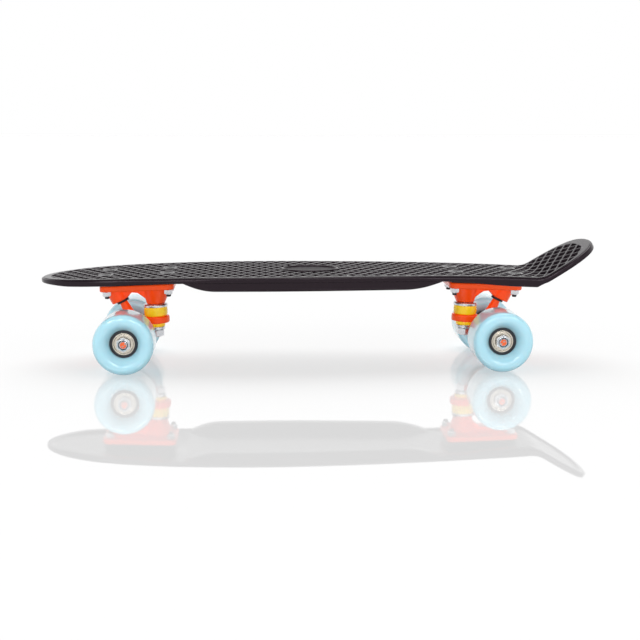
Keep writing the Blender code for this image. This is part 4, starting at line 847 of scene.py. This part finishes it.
def pits():
    """The pits' air, with the badge and the bolts left solid."""
    air = tool(waffle_cells())
    combine(air, waffle_zone(), operation="INTERSECT")
    combine(air, oval(BOSS_WALL, BADGE_LENGTH, BADGE_WIDTH), shifted(BADGE_X))
    reach = TRUCK_HEIGHT + DECK_AT_TRUCK
    for _, axle_x, outward in TRUCKS:
        for x, y in BOLTS:
            place = axle_x + outward * (x * cos(TILT) + reach * sin(TILT))
            combine(air, oval(BOSS_WALL, BOLT_PAD_DIAMETER, BOLT_PAD_DIAMETER), shifted(place, y))
    return evaluated(air)


def badge_rim():
    """The round rim that stands a little above the ribs."""
    crest = [(1 - BADGE_RIM_SHARE * (1 + cos(radians(a))) / 2, BADGE_RIM_RISE * sin(radians(a)))
             for a in range(0, 181, 20)]
    return [(1 - BADGE_RIM_SHARE, -0.0006)] + crest + [(1, -0.0006)]


def badge_floor():
    """The air over the shallow floor inside the badge's rim, which is left bare."""
    rim = BADGE_RIM_SHARE
    return [(0, 0.003), (1 - rim, 0.003), (1 - rim, 0), (1 - 1.1 * rim, -0.0003),
            (1 - 1.25 * rim, -0.7 * BADGE_SINK), (1 - 1.6 * rim, -BADGE_SINK), (0, -BADGE_SINK)]


def half_width_at(x):
    """Half width of the deck at a place between its shoulder and its kick."""
    for before, after in zip(OUTLINE, OUTLINE[1:]):
        if before.x <= x <= after.x:
            return before.y + (x - before.x) / (after.x - before.x) * (after.y - before.y)


def rail_bottom(x):
    """Underside of a rail: straight, with a ramp like a ski tip at each end that runs out in the panel."""
    bottom = DECK_TOP_Z - RAIL_DEPTH
    for start, ramp in ((RAIL_START_X, -RAIL_FRONT_RAMP), (RAIL_END_X, RAIL_REAR_RAMP)):
        past = (x - start) / ramp
        if past > 0:
            panel = camber_height(start + ramp) - PANEL_THICKNESS
            return bottom + (panel - bottom) * past ** 2
    return bottom


def rail(side):
    """One rail, lofted from sections that follow the deck's edge."""
    stations = [RAIL_START_X - RAIL_FRONT_RAMP * (1 - t / 16) for t in range(16)]
    stations += [RAIL_START_X + (RAIL_END_X - RAIL_START_X) * t / 14 for t in range(15)]
    stations += [RAIL_END_X + RAIL_REAR_RAMP * (t + 1) / 16 for t in range(16)]
    rings = []
    for x in stations:
        outer = half_width_at(x) - RAIL_EDGE_INSET
        inner = outer - RAIL_WIDTH
        low = rail_bottom(x)
        high = camber_height(x) - PANEL_THICKNESS + RAIL_IN_PANEL
        step = min(RAIL_EDGE_RADIUS, (high - low) * 0.45)
        section = [(outer, high)]
        section += [(outer - step * (1 - cos(a)), low + step * (1 - sin(a))) for a in QUARTER]
        section += [(inner + step * (1 - sin(a)), low + step * (1 - cos(a))) for a in QUARTER]
        section.append((inner, high))
        rings.append([(x, side * y, z) for y, z in section])
    return lofted(rings)


def axle_matrix(axle_x, outward):
    """Place of what turns round an axle: on its middle, turned to face the board's end."""
    place = shifted(axle_x, 0, WHEEL_RADIUS)
    return place @ FACE_ABOUT if outward < 0 else place


def truck_matrix(axle_x, outward):
    """Place of a truck's own frame: on its axle and leaned with the deck."""
    return axle_matrix(axle_x, outward) @ Matrix.Rotation(TILT, 4, "Y")


def make_deck():
    badge = shifted(BADGE_X)
    blank = tool(flat_deck())
    combine(blank, pits())
    combine(blank, oval(badge_floor(), BADGE_LENGTH, BADGE_WIDTH, BADGE_STEPS), badge)
    combine(blank, oval(badge_rim(), BADGE_LENGTH, BADGE_WIDTH, BADGE_STEPS), badge, "UNION")
    mesh = evaluated(blank)
    bm = bmesh.new()
    bm.from_mesh(mesh)
    bmesh.ops.triangulate(bm, faces=[f for f in bm.faces if len(f.verts) > 4])
    for vert in bm.verts:
        vert.co = on_deck(*vert.co)
    bm.to_mesh(mesh)
    bm.free()
    body = tool(mesh)
    for side in (-1, 1):
        combine(body, rail(side), operation="UNION")
    radius = BOLT_RADIUS + FIT
    head = BOLT_HEAD_RADIUS + FIT
    mouth = head + 2 * HAIR
    top = BOLT_TOP_Z
    hole = [(0, top + 0.003), (mouth, top + 0.003), (mouth, top + HAIR), (head, top - FIT),
            (radius, top - BOLT_HEAD_HEIGHT - FIT), (radius, TRUCK_HEIGHT - PAST), (0, TRUCK_HEIGHT - PAST)]
    for _, axle_x, outward in TRUCKS:
        place = truck_matrix(axle_x, outward)
        pad_top = TRUCK_HEIGHT + DECK_AT_TRUCK - PANEL_THICKNESS + PAD_IN_PANEL
        combine(body, plate(PAD_INSET, TRUCK_HEIGHT, pad_top, 0), place, "UNION")
        for x, y in BOLTS:
            combine(body, turned(hole, SMALL), place @ shifted(x, y))
    moulding = evaluated(body)
    moulding.materials.clear()
    for finish in ("deck_plastic", "badge_plastic"):
        moulding.materials.append(MATERIALS[finish])
    level = camber_height(BADGE_X) - 0.5 * BADGE_SINK
    for face in moulding.polygons:
        x, y, z = face.center
        reach = hypot((x - BADGE_X) / (BADGE_LENGTH / 2), y / (BADGE_WIDTH / 2))
        floor = level - BADGE_SINK < z < level and face.normal.z > BADGE_FACES_UP
        face.material_index = 1 if reach < 1 and floor else 0
    add("deck_moulding", moulding, "deck_plastic", "board", replaced="deck", smooth=32)


# Trucks

def pivot_frame(origin):
    """A frame whose z axis runs up the pivot's axis."""
    z_axis = (-PIVOT_DOWN).normalized()
    y_axis = Vector((0, 1, 0))
    rotation = Matrix((y_axis.cross(z_axis), y_axis, z_axis)).transposed().to_4x4()
    return Matrix.Translation(origin) @ rotation


PIVOT_FRAME = pivot_frame(PIVOT_BALL)
KINGPIN_FRAME = shifted(KINGPIN_X)


def baseplate():
    """Cast baseplate in the truck's frame: plate, kingpin boss, pivot boss and the web between them."""
    trim = PLATE_TOP_Z - PLATE_TRIM
    length = (trim - PIVOT_BALL_Z) / cos(PIVOT_LEAN) + PIVOT_BOSS_RADIUS
    pivot_boss = turned([
        (0, length), (PIVOT_BOSS_RADIUS, length), (PIVOT_BOSS_RADIUS, 0.004),
        (PIVOT_BOSS_RADIUS, -PIVOT_FACE_FROM_BALL, 0.0008), (0, -PIVOT_FACE_FROM_BALL)])
    pivot_boss.transform(pivot_frame(PIVOT_BALL + PIVOT_BOSS_MIDDLE))
    pivot_core = tool(pivot_boss)
    bm = bmesh.new()
    bmesh.ops.create_cube(bm, size=1, matrix=shifted(z=trim + 0.05) @ Matrix.Diagonal((0.2, 0.2, 0.1, 1)))
    combine(pivot_core, mesh_from(bm))

    rise = trim - KINGPIN_BOSS_BOTTOM_Z
    widening = KINGPIN_BOSS_TOP_RADIUS - KINGPIN_BOSS_BOTTOM_RADIUS
    cone = turned([
        (0, rise), (KINGPIN_BOSS_TOP_RADIUS, rise),
        (KINGPIN_BOSS_BOTTOM_RADIUS + 0.1 * widening, 0.1 * rise),
        (KINGPIN_BOSS_BOTTOM_RADIUS, 0, 0.0007), (0, 0)])
    lean = Matrix(((1, 0, -KINGPIN_BOSS_LEAN / rise, 0), (0, 1, 0, 0), (0, 0, 1, 0), (0, 0, 0, 1)))
    cone.transform(shifted(KINGPIN_X - KINGPIN_BOSS_SHIFT, 0, KINGPIN_BOSS_BOTTOM_Z) @ lean)

    face = PIVOT_BALL + PIVOT_FACE_FROM_BALL * PIVOT_DOWN + PIVOT_BOSS_MIDDLE
    outer = face + (PIVOT_BOSS_RADIUS - 0.0012) * PIVOT_ACROSS
    inner = face - PIVOT_BOSS_RADIUS * PIVOT_ACROSS
    boss_side = KINGPIN_X + KINGPIN_BOSS_BOTTOM_RADIUS
    # The web's corners, from the kingpin boss round the pivot boss to the plate
    side = (
        (KINGPIN_X, KINGPIN_BOSS_BOTTOM_Z + 0.001), (boss_side - 0.0016, KINGPIN_BOSS_BOTTOM_Z + 0.001),
        (boss_side, KINGPIN_BOSS_BOTTOM_Z + 0.0059), (inner.x - 0.0094, inner.z + 0.0040),
        (inner.x - 0.0036, inner.z + 0.0048), (inner.x + 0.0004, inner.z + 0.0004),
        (outer.x - 0.0006, outer.z + 0.0014), (outer.x + 0.0048, trim), (PLATE_INNER_X + 0.004, trim),
        (PLATE_INNER_X + 0.0065, PLATE_BOTTOM_Z - 0.001))
    web = lofted([[(x, y, z) for x, z in side] for y in (-WEB_HALF_WIDTH, WEB_HALF_WIDTH)])

    blank = tool(plate(0, PLATE_BOTTOM_Z, PLATE_TOP_Z, PLATE_RIM))
    for piece in (evaluated(pivot_core), cone, web):
        combine(blank, piece, operation="UNION")
    casting = tool(cast(blank))

    cup_bottom = -PIVOT_FACE_FROM_BALL - PAST
    combine(casting, rod(CUP_RADIUS + FIT, cup_bottom, CUP_DEPTH_BEHIND_BALL + FIT), PIVOT_FRAME)
    combine(casting, rod(KINGPIN_BORE, 0, 0.07), KINGPIN_FRAME)
    pocket = PLATE_TOP_Z - KINGPIN_HEAD_HEIGHT - 2 * FIT
    combine(casting, hexagon(KINGPIN_HEAD_ACROSS + 2 * FIT, pocket, pocket + 0.02), KINGPIN_FRAME)
    for x, y in BOLTS:
        combine(casting, rod(BOLT_RADIUS + FIT, PLATE_BOTTOM_Z - 0.01, 0.07, SMALL), shifted(x, y))
    return evaluated(casting)


def hanger():
    """Cast hanger in the truck's frame: axle beam, kingpin ring, neck, gussets and the stem."""
    half = BEAM_LENGTH / 2
    side = rounded([
        (0, half), (BEAM_END_RADIUS, half, 0.0009), (BEAM_END_RADIUS + 0.0003, 0.76 * half, 0.006),
        (BEAM_MIDDLE_RADIUS, 0.30 * half, 0.004), (BEAM_MIDDLE_RADIUS, 0)])
    beam = turned(side + [(radius, -height) for radius, height in reversed(side[:-1])])
    beam.transform(LAID_DOWN)

    low = PIVOT_BALL_Z / cos(PIVOT_LEAN) - 0.003
    ball = PIVOT_BALL_RADIUS
    stem = turned([(0, ball)] + ball_points(ball, 15) + [
        (ball, -0.001), (ball + 0.0003, -0.0050, 0.003), (0.45 * (ball + STEM_RADIUS_LOW), -0.0140, 0.006),
        (STEM_RADIUS_LOW, -low), (0, -low)], ROUND)
    stem.transform(PIVOT_FRAME)
    ring = turned([
        (0, RING_TOP), (RING_RADIUS, RING_TOP, 0.0012), (RING_RADIUS, RING_BOTTOM, 0.0012),
        (0, RING_BOTTOM)])
    ring.transform(KINGPIN_FRAME)

    # The ends of the neck, as (x, half width, underside, top)
    neck = []
    for x, wide, low, high in (
            (KINGPIN_X + 0.8 * RING_RADIUS, 0.56 * RING_RADIUS, RING_BOTTOM + 0.0006, RING_TOP - 0.0006),
            (-0.001, 1.35 * RING_RADIUS, -0.55 * BEAM_MIDDLE_RADIUS, 0.80 * BEAM_MIDDLE_RADIUS)):
        neck += [(x, y, z) for y, z in (
            (-wide, low + 0.0016), (-wide, high - 0.0016), (-0.78 * wide, high), (0.78 * wide, high),
            (wide, high - 0.0016), (wide, low + 0.0016), (0.78 * wide, low), (-0.78 * wide, low))]
    gusset = []
    shoulder = 0.62 * PIVOT_BALL_Z
    shoulder_x = PIVOT_BALL_X + (shoulder - PIVOT_BALL_Z) * tan(PIVOT_LEAN)
    # The rows of the gussets, as (x, half width, z, half thickness)
    for x, wide, z, thick in ((0, 0.82 * half, 0.2 * BEAM_END_RADIUS, 0.0042),
                              (0, 0.86 * half, -0.1 * BEAM_END_RADIUS, 0.0042),
                              (shoulder_x - 0.0015, 0.0042, shoulder, 0.0030), (-0.002, 0.0042, 0, 0.0050)):
        gusset += [(x + dx, y, z) for y in (-wide, wide) for dx in (-thick, thick)]

    blank = tool(beam)
    for piece in (hull(neck), hull(gusset), ring, stem):
        combine(blank, piece, operation="UNION")
    casting = tool(cast(blank))
    combine(casting, rod(AXLE_RADIUS + FIT, -0.1, 0.1, ROUND), LAID_DOWN)
    upper = UPPER_SEAT_RADIUS
    lower = LOWER_SEAT_RADIUS
    high = RING_TOP - RING_SEAT_DEPTH
    low = RING_BOTTOM + RING_SEAT_DEPTH
    combine(casting, turned([
        (0, RING_TOP + 0.006), (upper + 0.0003, RING_TOP + 0.006), (upper + 0.0003, RING_TOP),
        (upper, RING_TOP - 0.0003), (upper, high), (RING_BORE_RADIUS, high), (RING_BORE_RADIUS, low),
        (lower, low), (lower, RING_BOTTOM + 0.0003), (lower + 0.0003, RING_BOTTOM),
        (lower + 0.0003, RING_BOTTOM - 0.006), (0, RING_BOTTOM - 0.006)]), KINGPIN_FRAME)
    return evaluated(casting)


def kingpin():
    top = PLATE_TOP_Z - FIT
    neck = top - KINGPIN_HEAD_HEIGHT + 0.001
    radius = KINGPIN_RADIUS
    head = tool(hexagon(KINGPIN_HEAD_ACROSS, top - KINGPIN_HEAD_HEIGHT, top))
    combine(head, turned([
        (0, neck), (radius, neck), (radius, 0.010), (radius - 0.0004, 0.009), (radius - 0.0004, 0.002),
        (0, 0.002)], ROUND), operation="UNION")
    return evaluated(head)


def pivot_cup():
    """Rubber cup round the pivot; z runs up its axis."""
    face = -PIVOT_FACE_FROM_BALL - FIT
    mouth = face - CUP_RIM_THICKNESS
    cavity = PIVOT_BALL_RADIUS + FIT
    return turned([
        (0, CUP_DEPTH_BEHIND_BALL), (CUP_RADIUS, CUP_DEPTH_BEHIND_BALL, 0.0008), (CUP_RADIUS, face),
        (CUP_RIM_RADIUS, face, 0.0003), (CUP_RIM_RADIUS, mouth, 0.0006), (CUP_MOUTH_RADIUS, mouth, 0.0004),
        (cavity, face + 0.0006), *reversed(ball_points(cavity, 0)), (0, cavity)], ROUND)


def kingpin_stack():
    """Upper and lower cup washer, then upper and lower bushing."""
    bore = KINGPIN_BORE
    top = KINGPIN_BOSS_BOTTOM_Z - FIT
    low = top - UPPER_WASHER_SKIRT
    wide = UPPER_WASHER_RADIUS
    inside = wide - WASHER_SHEET
    yield turned([
        (bore, top), (bore + 0.0002, top), (wide, top, 0.0016), (wide, low, 0.0005), (inside, low, 0.0004),
        (inside, top - WASHER_SHEET, 0.0004), (bore, top - WASHER_SHEET)])

    rim = RING_BOTTOM - LOWER_BUSHING_HEIGHT
    foot = rim - LOWER_BUSHING_FOOT
    bottom = rim - LOWER_WASHER_HEIGHT
    wide = LOWER_WASHER_RADIUS
    lower_inside = wide - WASHER_SHEET
    yield turned([
        (bore, foot - FIT), (lower_inside, foot - FIT, 0.0002), (lower_inside, rim, 0.0004),
        (wide, rim, 0.0005), (wide, bottom, 0.0012), (bore + 0.0002, bottom), (bore, bottom)])

    skirt = low - FIT
    barrel = RING_TOP + FIT
    seat = UPPER_SEAT_RADIUS - FIT
    wide = UPPER_BUSHING_RADIUS
    yield turned([
        (bore, top - WASHER_SHEET - FIT), (inside - FIT, top - WASHER_SHEET - FIT, 0.0004),
        (inside - FIT, skirt, 0.0002), (wide - 0.0003, skirt - 0.0001, 0.0008),
        (wide + 0.0001, (skirt + barrel) / 2, 0.004), (wide - 0.0003, barrel, 0.0010),
        (seat, barrel, 0.0002), (seat, barrel - RING_SEAT_DEPTH, 0.0004),
        (bore, barrel - RING_SEAT_DEPTH)], steps=6)

    top = RING_BOTTOM + RING_SEAT_DEPTH - FIT
    face = RING_BOTTOM - FIT
    seat = LOWER_SEAT_RADIUS - FIT
    wide = LOWER_BUSHING_RADIUS
    yield turned([
        (bore, top), (seat, top, 0.0004), (seat, face, 0.0002), (wide, face, 0.0008),
        (wide - 0.0002, rim + FIT, 0.0008), (lower_inside - FIT, rim + FIT, 0.0002),
        (lower_inside - FIT, foot, 0.0003), (bore, foot)], steps=6)


def tyre():
    """Urethane wheel with round lips and a dish on both faces; z runs outward along the axle."""
    outer = TRACK_OUTSIDE / 2
    inner = outer - WHEEL_WIDTH
    lip = WHEEL_LIP_RADIUS
    shoulder = WHEEL_RADIUS - lip
    bore = CORE_RADIUS + FIT
    dish = shoulder - bore
    turns = [radians(9 * k) for k in range(11)]
    curve = interpolate_bezier(*[Vector(p) for p in (
        (bore, outer - DISH_DEPTH, 0), (bore + 0.30 * dish, outer - 0.30 * DISH_DEPTH, 0),
        (bore + 0.62 * dish, outer, 0), (shoulder, outer, 0))], 12)
    profile = [(p.x, p.y) for p in curve[:-1]]
    profile += [(shoulder + lip * sin(a), outer - lip + lip * cos(a)) for a in turns]
    profile += [(WHEEL_RADIUS, outer - lip - (WHEEL_WIDTH - 2 * lip) * t) for t in (0.33, 0.67)]
    profile += [(shoulder + lip * cos(a), inner + lip - lip * sin(a)) for a in turns]
    profile += [(bore + 0.5 * dish, inner + 0.35 * DISH_DEPTH), (bore, inner + DISH_DEPTH)]
    return turned(profile, WHEEL_STEPS)


def core():
    radius = CORE_RADIUS
    seat = BEARING_RADIUS + FIT
    web = CORE_WEB_BORE_RADIUS
    high = OUTER_BEARING[0] + 0.0006
    low = INNER_BEARING[1] - 0.0004
    web_high = OUTER_BEARING[1] - FIT
    web_low = INNER_BEARING[0] + FIT
    return turned([
        (seat, OUTER_BEARING[0] - 0.001), (seat, high, 0.0003), (radius, high, 0.0005),
        (radius, low, 0.0005), (seat, low, 0.0003), (seat, web_low), (web, web_low), (web, web_high),
        (seat, web_high)], CORE_STEPS)


def bearing():
    """Outer race, inner race and shield of one bearing, centred on its own middle."""
    outer = BEARING_RADIUS
    bore = BEARING_BORE_RADIUS
    half = BEARING_WIDTH / 2
    ring = outer - 0.0013
    race = bore + 0.0019
    sink = half - 0.0004
    yield turned([
        (ring, 0), (ring, half, 0.0002), (outer, half, 0.0005), (outer, -half, 0.0005),
        (ring, -half, 0.0002), (ring, -HAIR)], CORE_STEPS)
    yield turned([
        (bore, 0), (bore, half, 0.0003), (race, half, 0.0002), (race, -half, 0.0002), (bore, -half, 0.0003),
        (bore, -HAIR)])
    yield turned([
        (race + 0.0002, sink - 0.0004), (race + 0.0002, sink - 0.0001), (race + 0.0008, sink, 0.0002),
        (ring - 0.0007, sink, 0.0002), (ring - 0.0003, sink - 0.0003, 0.0001), (ring, sink - 0.0001),
        (ring, -sink), (race + 0.0002, -sink)])


def speed_washer():
    bore = AXLE_RADIUS + FIT
    radius = SPEED_WASHER_RADIUS
    height = SPEED_WASHER_THICKNESS
    return turned([
        (bore, 0), (bore, height, 0.0001), (radius, height, 0.0002), (radius, 0, 0.0002),
        (bore + 0.0001, 0)], ROUND)


def lock_ring(bore, radius, depth):
    """Nylon ring of a lock nut; its top is at z = 0 and stands a little lower at the rim."""
    return turned([
        (bore, -depth), (bore, -0.0001, 0.0003), (radius, -0.0003, 0.0002), (radius, -depth)], ROUND)


def deck_bolt():
    """Countersunk bolt with a cross recess, down to where its thread piece starts."""
    radius = BOLT_RADIUS
    head = BOLT_HEAD_RADIUS
    end = PLATE_BOTTOM_Z + 0.001
    body = tool(turned([
        (0, BOLT_TOP_Z), (head - 0.0012, BOLT_TOP_Z), (head, BOLT_TOP_Z - 0.0001, 0.0003),
        (radius, BOLT_TOP_Z - BOLT_HEAD_HEIGHT, 0.0006), (radius, end), (0, end)], ROUND))
    for turn in (0, pi / 2):
        wedge = [(x * long, y * wide, BOLT_TOP_Z + z)
                 for long, wide, z in ((0.0026, 0.0006, 0.0004), (0.0011, 0.00045, -0.0019))
                 for x in (-1, 1) for y in (-1, 1)]
        combine(body, hull(wedge), Matrix.Rotation(turn + RECESS_TURN, 4, "Z"))
    return evaluated(body)


def axle_thread():
    """The axle's end, whose face is worn."""
    mesh = thread(AXLE_RADIUS, 0, THREAD_LENGTH, *COARSE_THREAD, tip=0.0009)
    mesh.polygons[len(mesh.polygons) - 2].material_index = 1
    for finish in ("zinc_steel", "worn_paint"):
        mesh.materials.append(MATERIALS[finish])
    return mesh


def put(name, spot, body, matrix, replaced=None, shape=None, smooth=30):
    """Add a piece of a shared shape. The spot ends its name and that of the node it replaces."""
    finish, mesh = SHAPES[shape or name]
    add(name + "_" + spot, mesh, finish, body, matrix, replaced and replaced + "_" + spot, smooth)


def make_truck(end, axle_x, outward):
    place = truck_matrix(axle_x, outward)
    pin = place @ KINGPIN_FRAME
    hanger_body = "hanger_" + end
    put("baseplate_casting", end, "board", place, "baseplate")
    put("kingpin_shank", end, "board", pin, "kingpin")
    put("kingpin_thread", end, "board", pin)
    put("kingpin_hex_nut", end, "board", pin @ shifted(z=KINGPIN_NUT_TOP) @ UPSIDE_DOWN, "kingpin_nut")
    put("upper_cup_washer", end, "board", pin, "upper_washer")
    put("lower_cup_washer", end, "board", pin, "lower_washer")
    put("pivot_rubber", end, "board", place @ PIVOT_FRAME, "pivot_cup")
    for which, low, high in (("upper", KINGPIN_BOSS_BOTTOM_Z - UPPER_WASHER_SKIRT, RING_TOP),
                             ("lower", RING_BOTTOM - LOWER_BUSHING_HEIGHT, RING_BOTTOM)):
        finish, mesh = SHAPES[which + "_bushing"]
        mesh = mesh.copy()
        mesh.transform(pin)
        start, stop = [tuple(pin @ Vector((0, 0, z))) for z in (low, high)]
        add("%s_bushing_soft_%s" % (which, end), mesh, finish, ("board", hanger_body, start, stop), None,
            "%s_bushing_%s" % (which, end))

    for i, (x, y) in enumerate(BOLTS):
        spot = "%s_%s_%s" % (end, "inner" if i < 2 else "outer", "left" if y * outward < 0 else "right")
        here = place @ shifted(x, y)
        under = here @ shifted(z=PLATE_BOTTOM_Z - FIT) @ UPSIDE_DOWN
        put("bolt_body", spot, "board", here, "deck_bolt")
        put("bolt_thread", spot, "board", here)
        put("bolt_nut", spot, "board", under, "deck_nut")
        put("bolt_lock_ring", spot, "board", under @ shifted(z=BOLT_NUT_HEIGHT))

    put("hanger_casting", end, hanger_body, place, "hanger")
    put("axle_rod", end, hanger_body, axle_matrix(axle_x, outward) @ LAID_DOWN, "axle")
    for side in (-1, 1):
        spot = "%s_%s" % (end, "left" if side * outward < 0 else "right")
        wheel = "wheel_" + spot
        out = axle_matrix(axle_x, outward) @ Matrix.Rotation(-side * pi / 2, 4, "X")
        put("axle_thread", spot, hanger_body, out @ shifted(z=AXLE_END) @ UPSIDE_DOWN)
        put("axle_hex_nut", spot, hanger_body, out @ shifted(z=AXLE_NUT_Z), "axle_nut")
        put("axle_lock_ring", spot, hanger_body, out @ shifted(z=AXLE_NUT_Z + AXLE_NUT_HEIGHT - 0.0002))
        for which, z in (("outer", OUTER_BEARING[0] + FIT), ("inner", BEAM_LENGTH / 2)):
            put(which + "_speed_washer", spot, hanger_body, out @ shifted(z=z), shape="speed_washer")
        put("tyre", spot, wheel, out, "wheel", smooth=60)
        put("core", spot, wheel, out, "wheel_core")
        for which, faces, turn in (
                ("outer", OUTER_BEARING, Matrix()), ("inner", INNER_BEARING, UPSIDE_DOWN)):
            here = out @ shifted(z=sum(faces) / 2) @ turn
            name = "%s_bearing_%s" % (which, spot)
            for kind, mesh in BEARING.items():
                add(name + kind, mesh, "bearing_steel", wheel, here, name if kind == "_race" else None)


make_deck()
BEARING = dict(zip(("_race", "_inner_race", "_shield"), bearing()))
STACK = list(kingpin_stack())
ROD_END = AXLE_END - THREAD_LENGTH
SHAPES = {
    "baseplate_casting": ("truck_paint", baseplate()),
    "hanger_casting": ("truck_paint", hanger()),
    "kingpin_shank": ("zinc_steel", kingpin()),
    "kingpin_thread": ("zinc_steel", thread(
        KINGPIN_RADIUS, KINGPIN_END_Z, KINGPIN_THREAD_TOP, *COARSE_THREAD)),
    "kingpin_hex_nut": ("zinc_steel", hex_nut(
        KINGPIN_NUT_ACROSS, KINGPIN_NUT_HEIGHT, KINGPIN_BORE, 0.0009)),
    "upper_cup_washer": ("zinc_steel", STACK[0]),
    "lower_cup_washer": ("zinc_steel", STACK[1]),
    "upper_bushing": ("bushing_urethane", STACK[2]),
    "lower_bushing": ("bushing_urethane", STACK[3]),
    "pivot_rubber": ("cup_rubber", pivot_cup()),
    "bolt_body": ("black_steel", deck_bolt()),
    "bolt_thread": ("black_steel", thread(
        BOLT_RADIUS, BOLT_END_Z, PLATE_BOTTOM_Z + 0.001, *FINE_THREAD, SMALL)),
    "bolt_nut": ("zinc_steel", hex_nut(
        BOLT_NUT_ACROSS, BOLT_NUT_HEIGHT, BOLT_RADIUS + FIT, 0.0004, 0.0009, BOLT_NUT_SOCKET)),
    "bolt_lock_ring": ("core_plastic", lock_ring(BOLT_RADIUS + HAIR, BOLT_NUT_SOCKET, 0.0010)),
    "axle_rod": ("truck_paint", rod(AXLE_RADIUS, -ROD_END, ROD_END, ROUND)),
    "axle_thread": ("zinc_steel", axle_thread()),
    "axle_hex_nut": ("zinc_steel", hex_nut(
        AXLE_NUT_ACROSS, AXLE_NUT_HEIGHT, AXLE_RADIUS + FIT, 0.0007, 0.0012, AXLE_NUT_SOCKET)),
    "axle_lock_ring": ("core_plastic", lock_ring(AXLE_RADIUS + HAIR, AXLE_NUT_SOCKET, 0.0013)),
    "speed_washer": ("zinc_steel", speed_washer()),
    "tyre": ("wheel_urethane", tyre()),
    "core": ("core_plastic", core()),
}
for truck in TRUCKS:
    make_truck(*truck)


# Stage, light and camera

FLOOR_SIZE = 12
FLOOR_Z = -0.00003
FLOOR_COLOUR = (0.55, 0.55, 0.55, 1)
FLOOR_MIRROR = 0.30
FLOOR_LIFT = 0.235
WHITE = (1, 1, 1, 1)
SKY_AT_HORIZON = 1.0
SKY_OVERHEAD = 0.10
HORIZON_BAND = (0.43, 0.75)

# Each lamp's name, place, strength, width in degrees and whether it throws a shadow
LAMPS = (
    ("overhead", (0, 0.62, 1.24), 1.70, 56, True),
    ("front_left", (-0.70, -0.95, 0.95), 0.48, 15, False),
    ("front_right", (0.75, -0.95, 0.95), 0.40, 15, False),
    ("streak_left", (-0.26, -1.15, 0.90), 0.38, 14, False),
    ("streak_right", (0.30, -1.15, 0.90), 0.38, 14, False),
)

# The photograph's camera; its place and target are from the board's middle
CAMERA_LENS = 70.81
CAMERA_SENSOR = 36.0
CAMERA_SHIFT = 0.5 / 640
CAMERA_PLACE = (-0.06690, -1.27083, 0.25213)
CAMERA_TARGET = (0.00098, 0, 0.04082)
CAMERA_ROLL = 0.00245
FRONT_AXLE_FROM_MIDDLE = -0.1933


def unshaded_rays(tree):
    """One for camera, glossy and transmission rays, nothing for the rays that light a surface."""
    path = add_node(tree, "ShaderNodeLightPath")
    seen = path["Is Camera Ray"]
    for kind in ("Is Glossy Ray", "Is Transmission Ray"):
        seen = add_node(tree, "ShaderNodeMath", {0: seen, 1: path[kind]}, operation="MAXIMUM")[0]
    return seen


def make_stage():
    """A pale floor with a soft sheen, in which the board shows faintly."""
    bm = bmesh.new()
    bmesh.ops.create_grid(bm, x_segments=1, y_segments=1, size=FLOOR_SIZE)
    floor = bpy.data.objects.new("floor", mesh_from(bm))
    SCENE.collection.objects.link(floor)
    floor.location.z = FLOOR_Z
    made, tree, shader = new_material("floor", {
        "Base Color": FLOOR_COLOUR, "Roughness": 0.6, "Specular IOR Level": 0.0})
    mirror = add_node(tree, "ShaderNodeBsdfGlossy", {"Color": WHITE, "Roughness": 0.02})[0]
    mixed = add_node(tree, "ShaderNodeMixShader", {"Fac": FLOOR_MIRROR, 1: shader.outputs[0], 2: mirror})[0]
    lift = add_node(tree, "ShaderNodeMath", {0: unshaded_rays(tree), 1: FLOOR_LIFT}, operation="MULTIPLY")[0]
    glow = add_node(tree, "ShaderNodeEmission", {"Color": WHITE, "Strength": lift})[0]
    total = add_node(tree, "ShaderNodeAddShader", {0: mixed, 1: glow})[0]
    fill(tree.nodes["Material Output"], {"Surface": total})
    floor.data.materials.append(made)


def make_world():
    """A plain studio: white round the horizon and greyer overhead."""
    world = bpy.data.worlds.new("studio")
    SCENE.world = world
    world.use_nodes = True
    tree = world.node_tree
    where = add_node(tree, "ShaderNodeTexCoord")["Generated"]
    height = add_node(tree, "ShaderNodeSeparateXYZ", {0: where})["Z"]
    level = spread(tree, height, HORIZON_BAND, SKY_AT_HORIZON, SKY_OVERHEAD, interpolation_type="SMOOTHSTEP")
    fill(tree.nodes["Background"], {"Color": WHITE, "Strength": level})


def make_lamp(name, place, strength, width, shadow):
    """A far softbox, which shines from its place towards the board."""
    data = bpy.data.lights.new(name, "SUN")
    data.energy = strength
    data.use_shadow = shadow
    data.angle = radians(width)
    lamp = bpy.data.objects.new(name, data)
    SCENE.collection.objects.link(lamp)
    lamp.location = place
    lamp.rotation_euler = (-Vector(place)).to_track_quat("-Z", "Y").to_euler()


def make_camera():
    """A long lens, a little above the deck."""
    data = bpy.data.cameras.new("camera")
    data.lens = CAMERA_LENS
    data.sensor_width = CAMERA_SENSOR
    data.shift_x = -CAMERA_SHIFT
    data.shift_y = CAMERA_SHIFT
    camera = bpy.data.objects.new("camera", data)
    SCENE.collection.objects.link(camera)
    middle = Vector((FRONT_AXLE_X - FRONT_AXLE_FROM_MIDDLE, 0, 0))
    place = middle + Vector(CAMERA_PLACE)
    forward = (middle + Vector(CAMERA_TARGET) - place).normalized()
    right = forward.cross(Vector((0, 0, 1))).normalized()
    up = right.cross(forward)
    turned_right = right * cos(CAMERA_ROLL) + up * sin(CAMERA_ROLL)
    turned_up = up * cos(CAMERA_ROLL) - right * sin(CAMERA_ROLL)
    rotation = Matrix((turned_right, turned_up, -forward)).transposed().to_4x4()
    camera.matrix_world = Matrix.Translation(place) @ rotation
    SCENE.camera = camera


make_stage()
make_world()
for settings in LAMPS:
    make_lamp(*settings)
make_camera()
SCENE.view_settings.view_transform = "Standard"
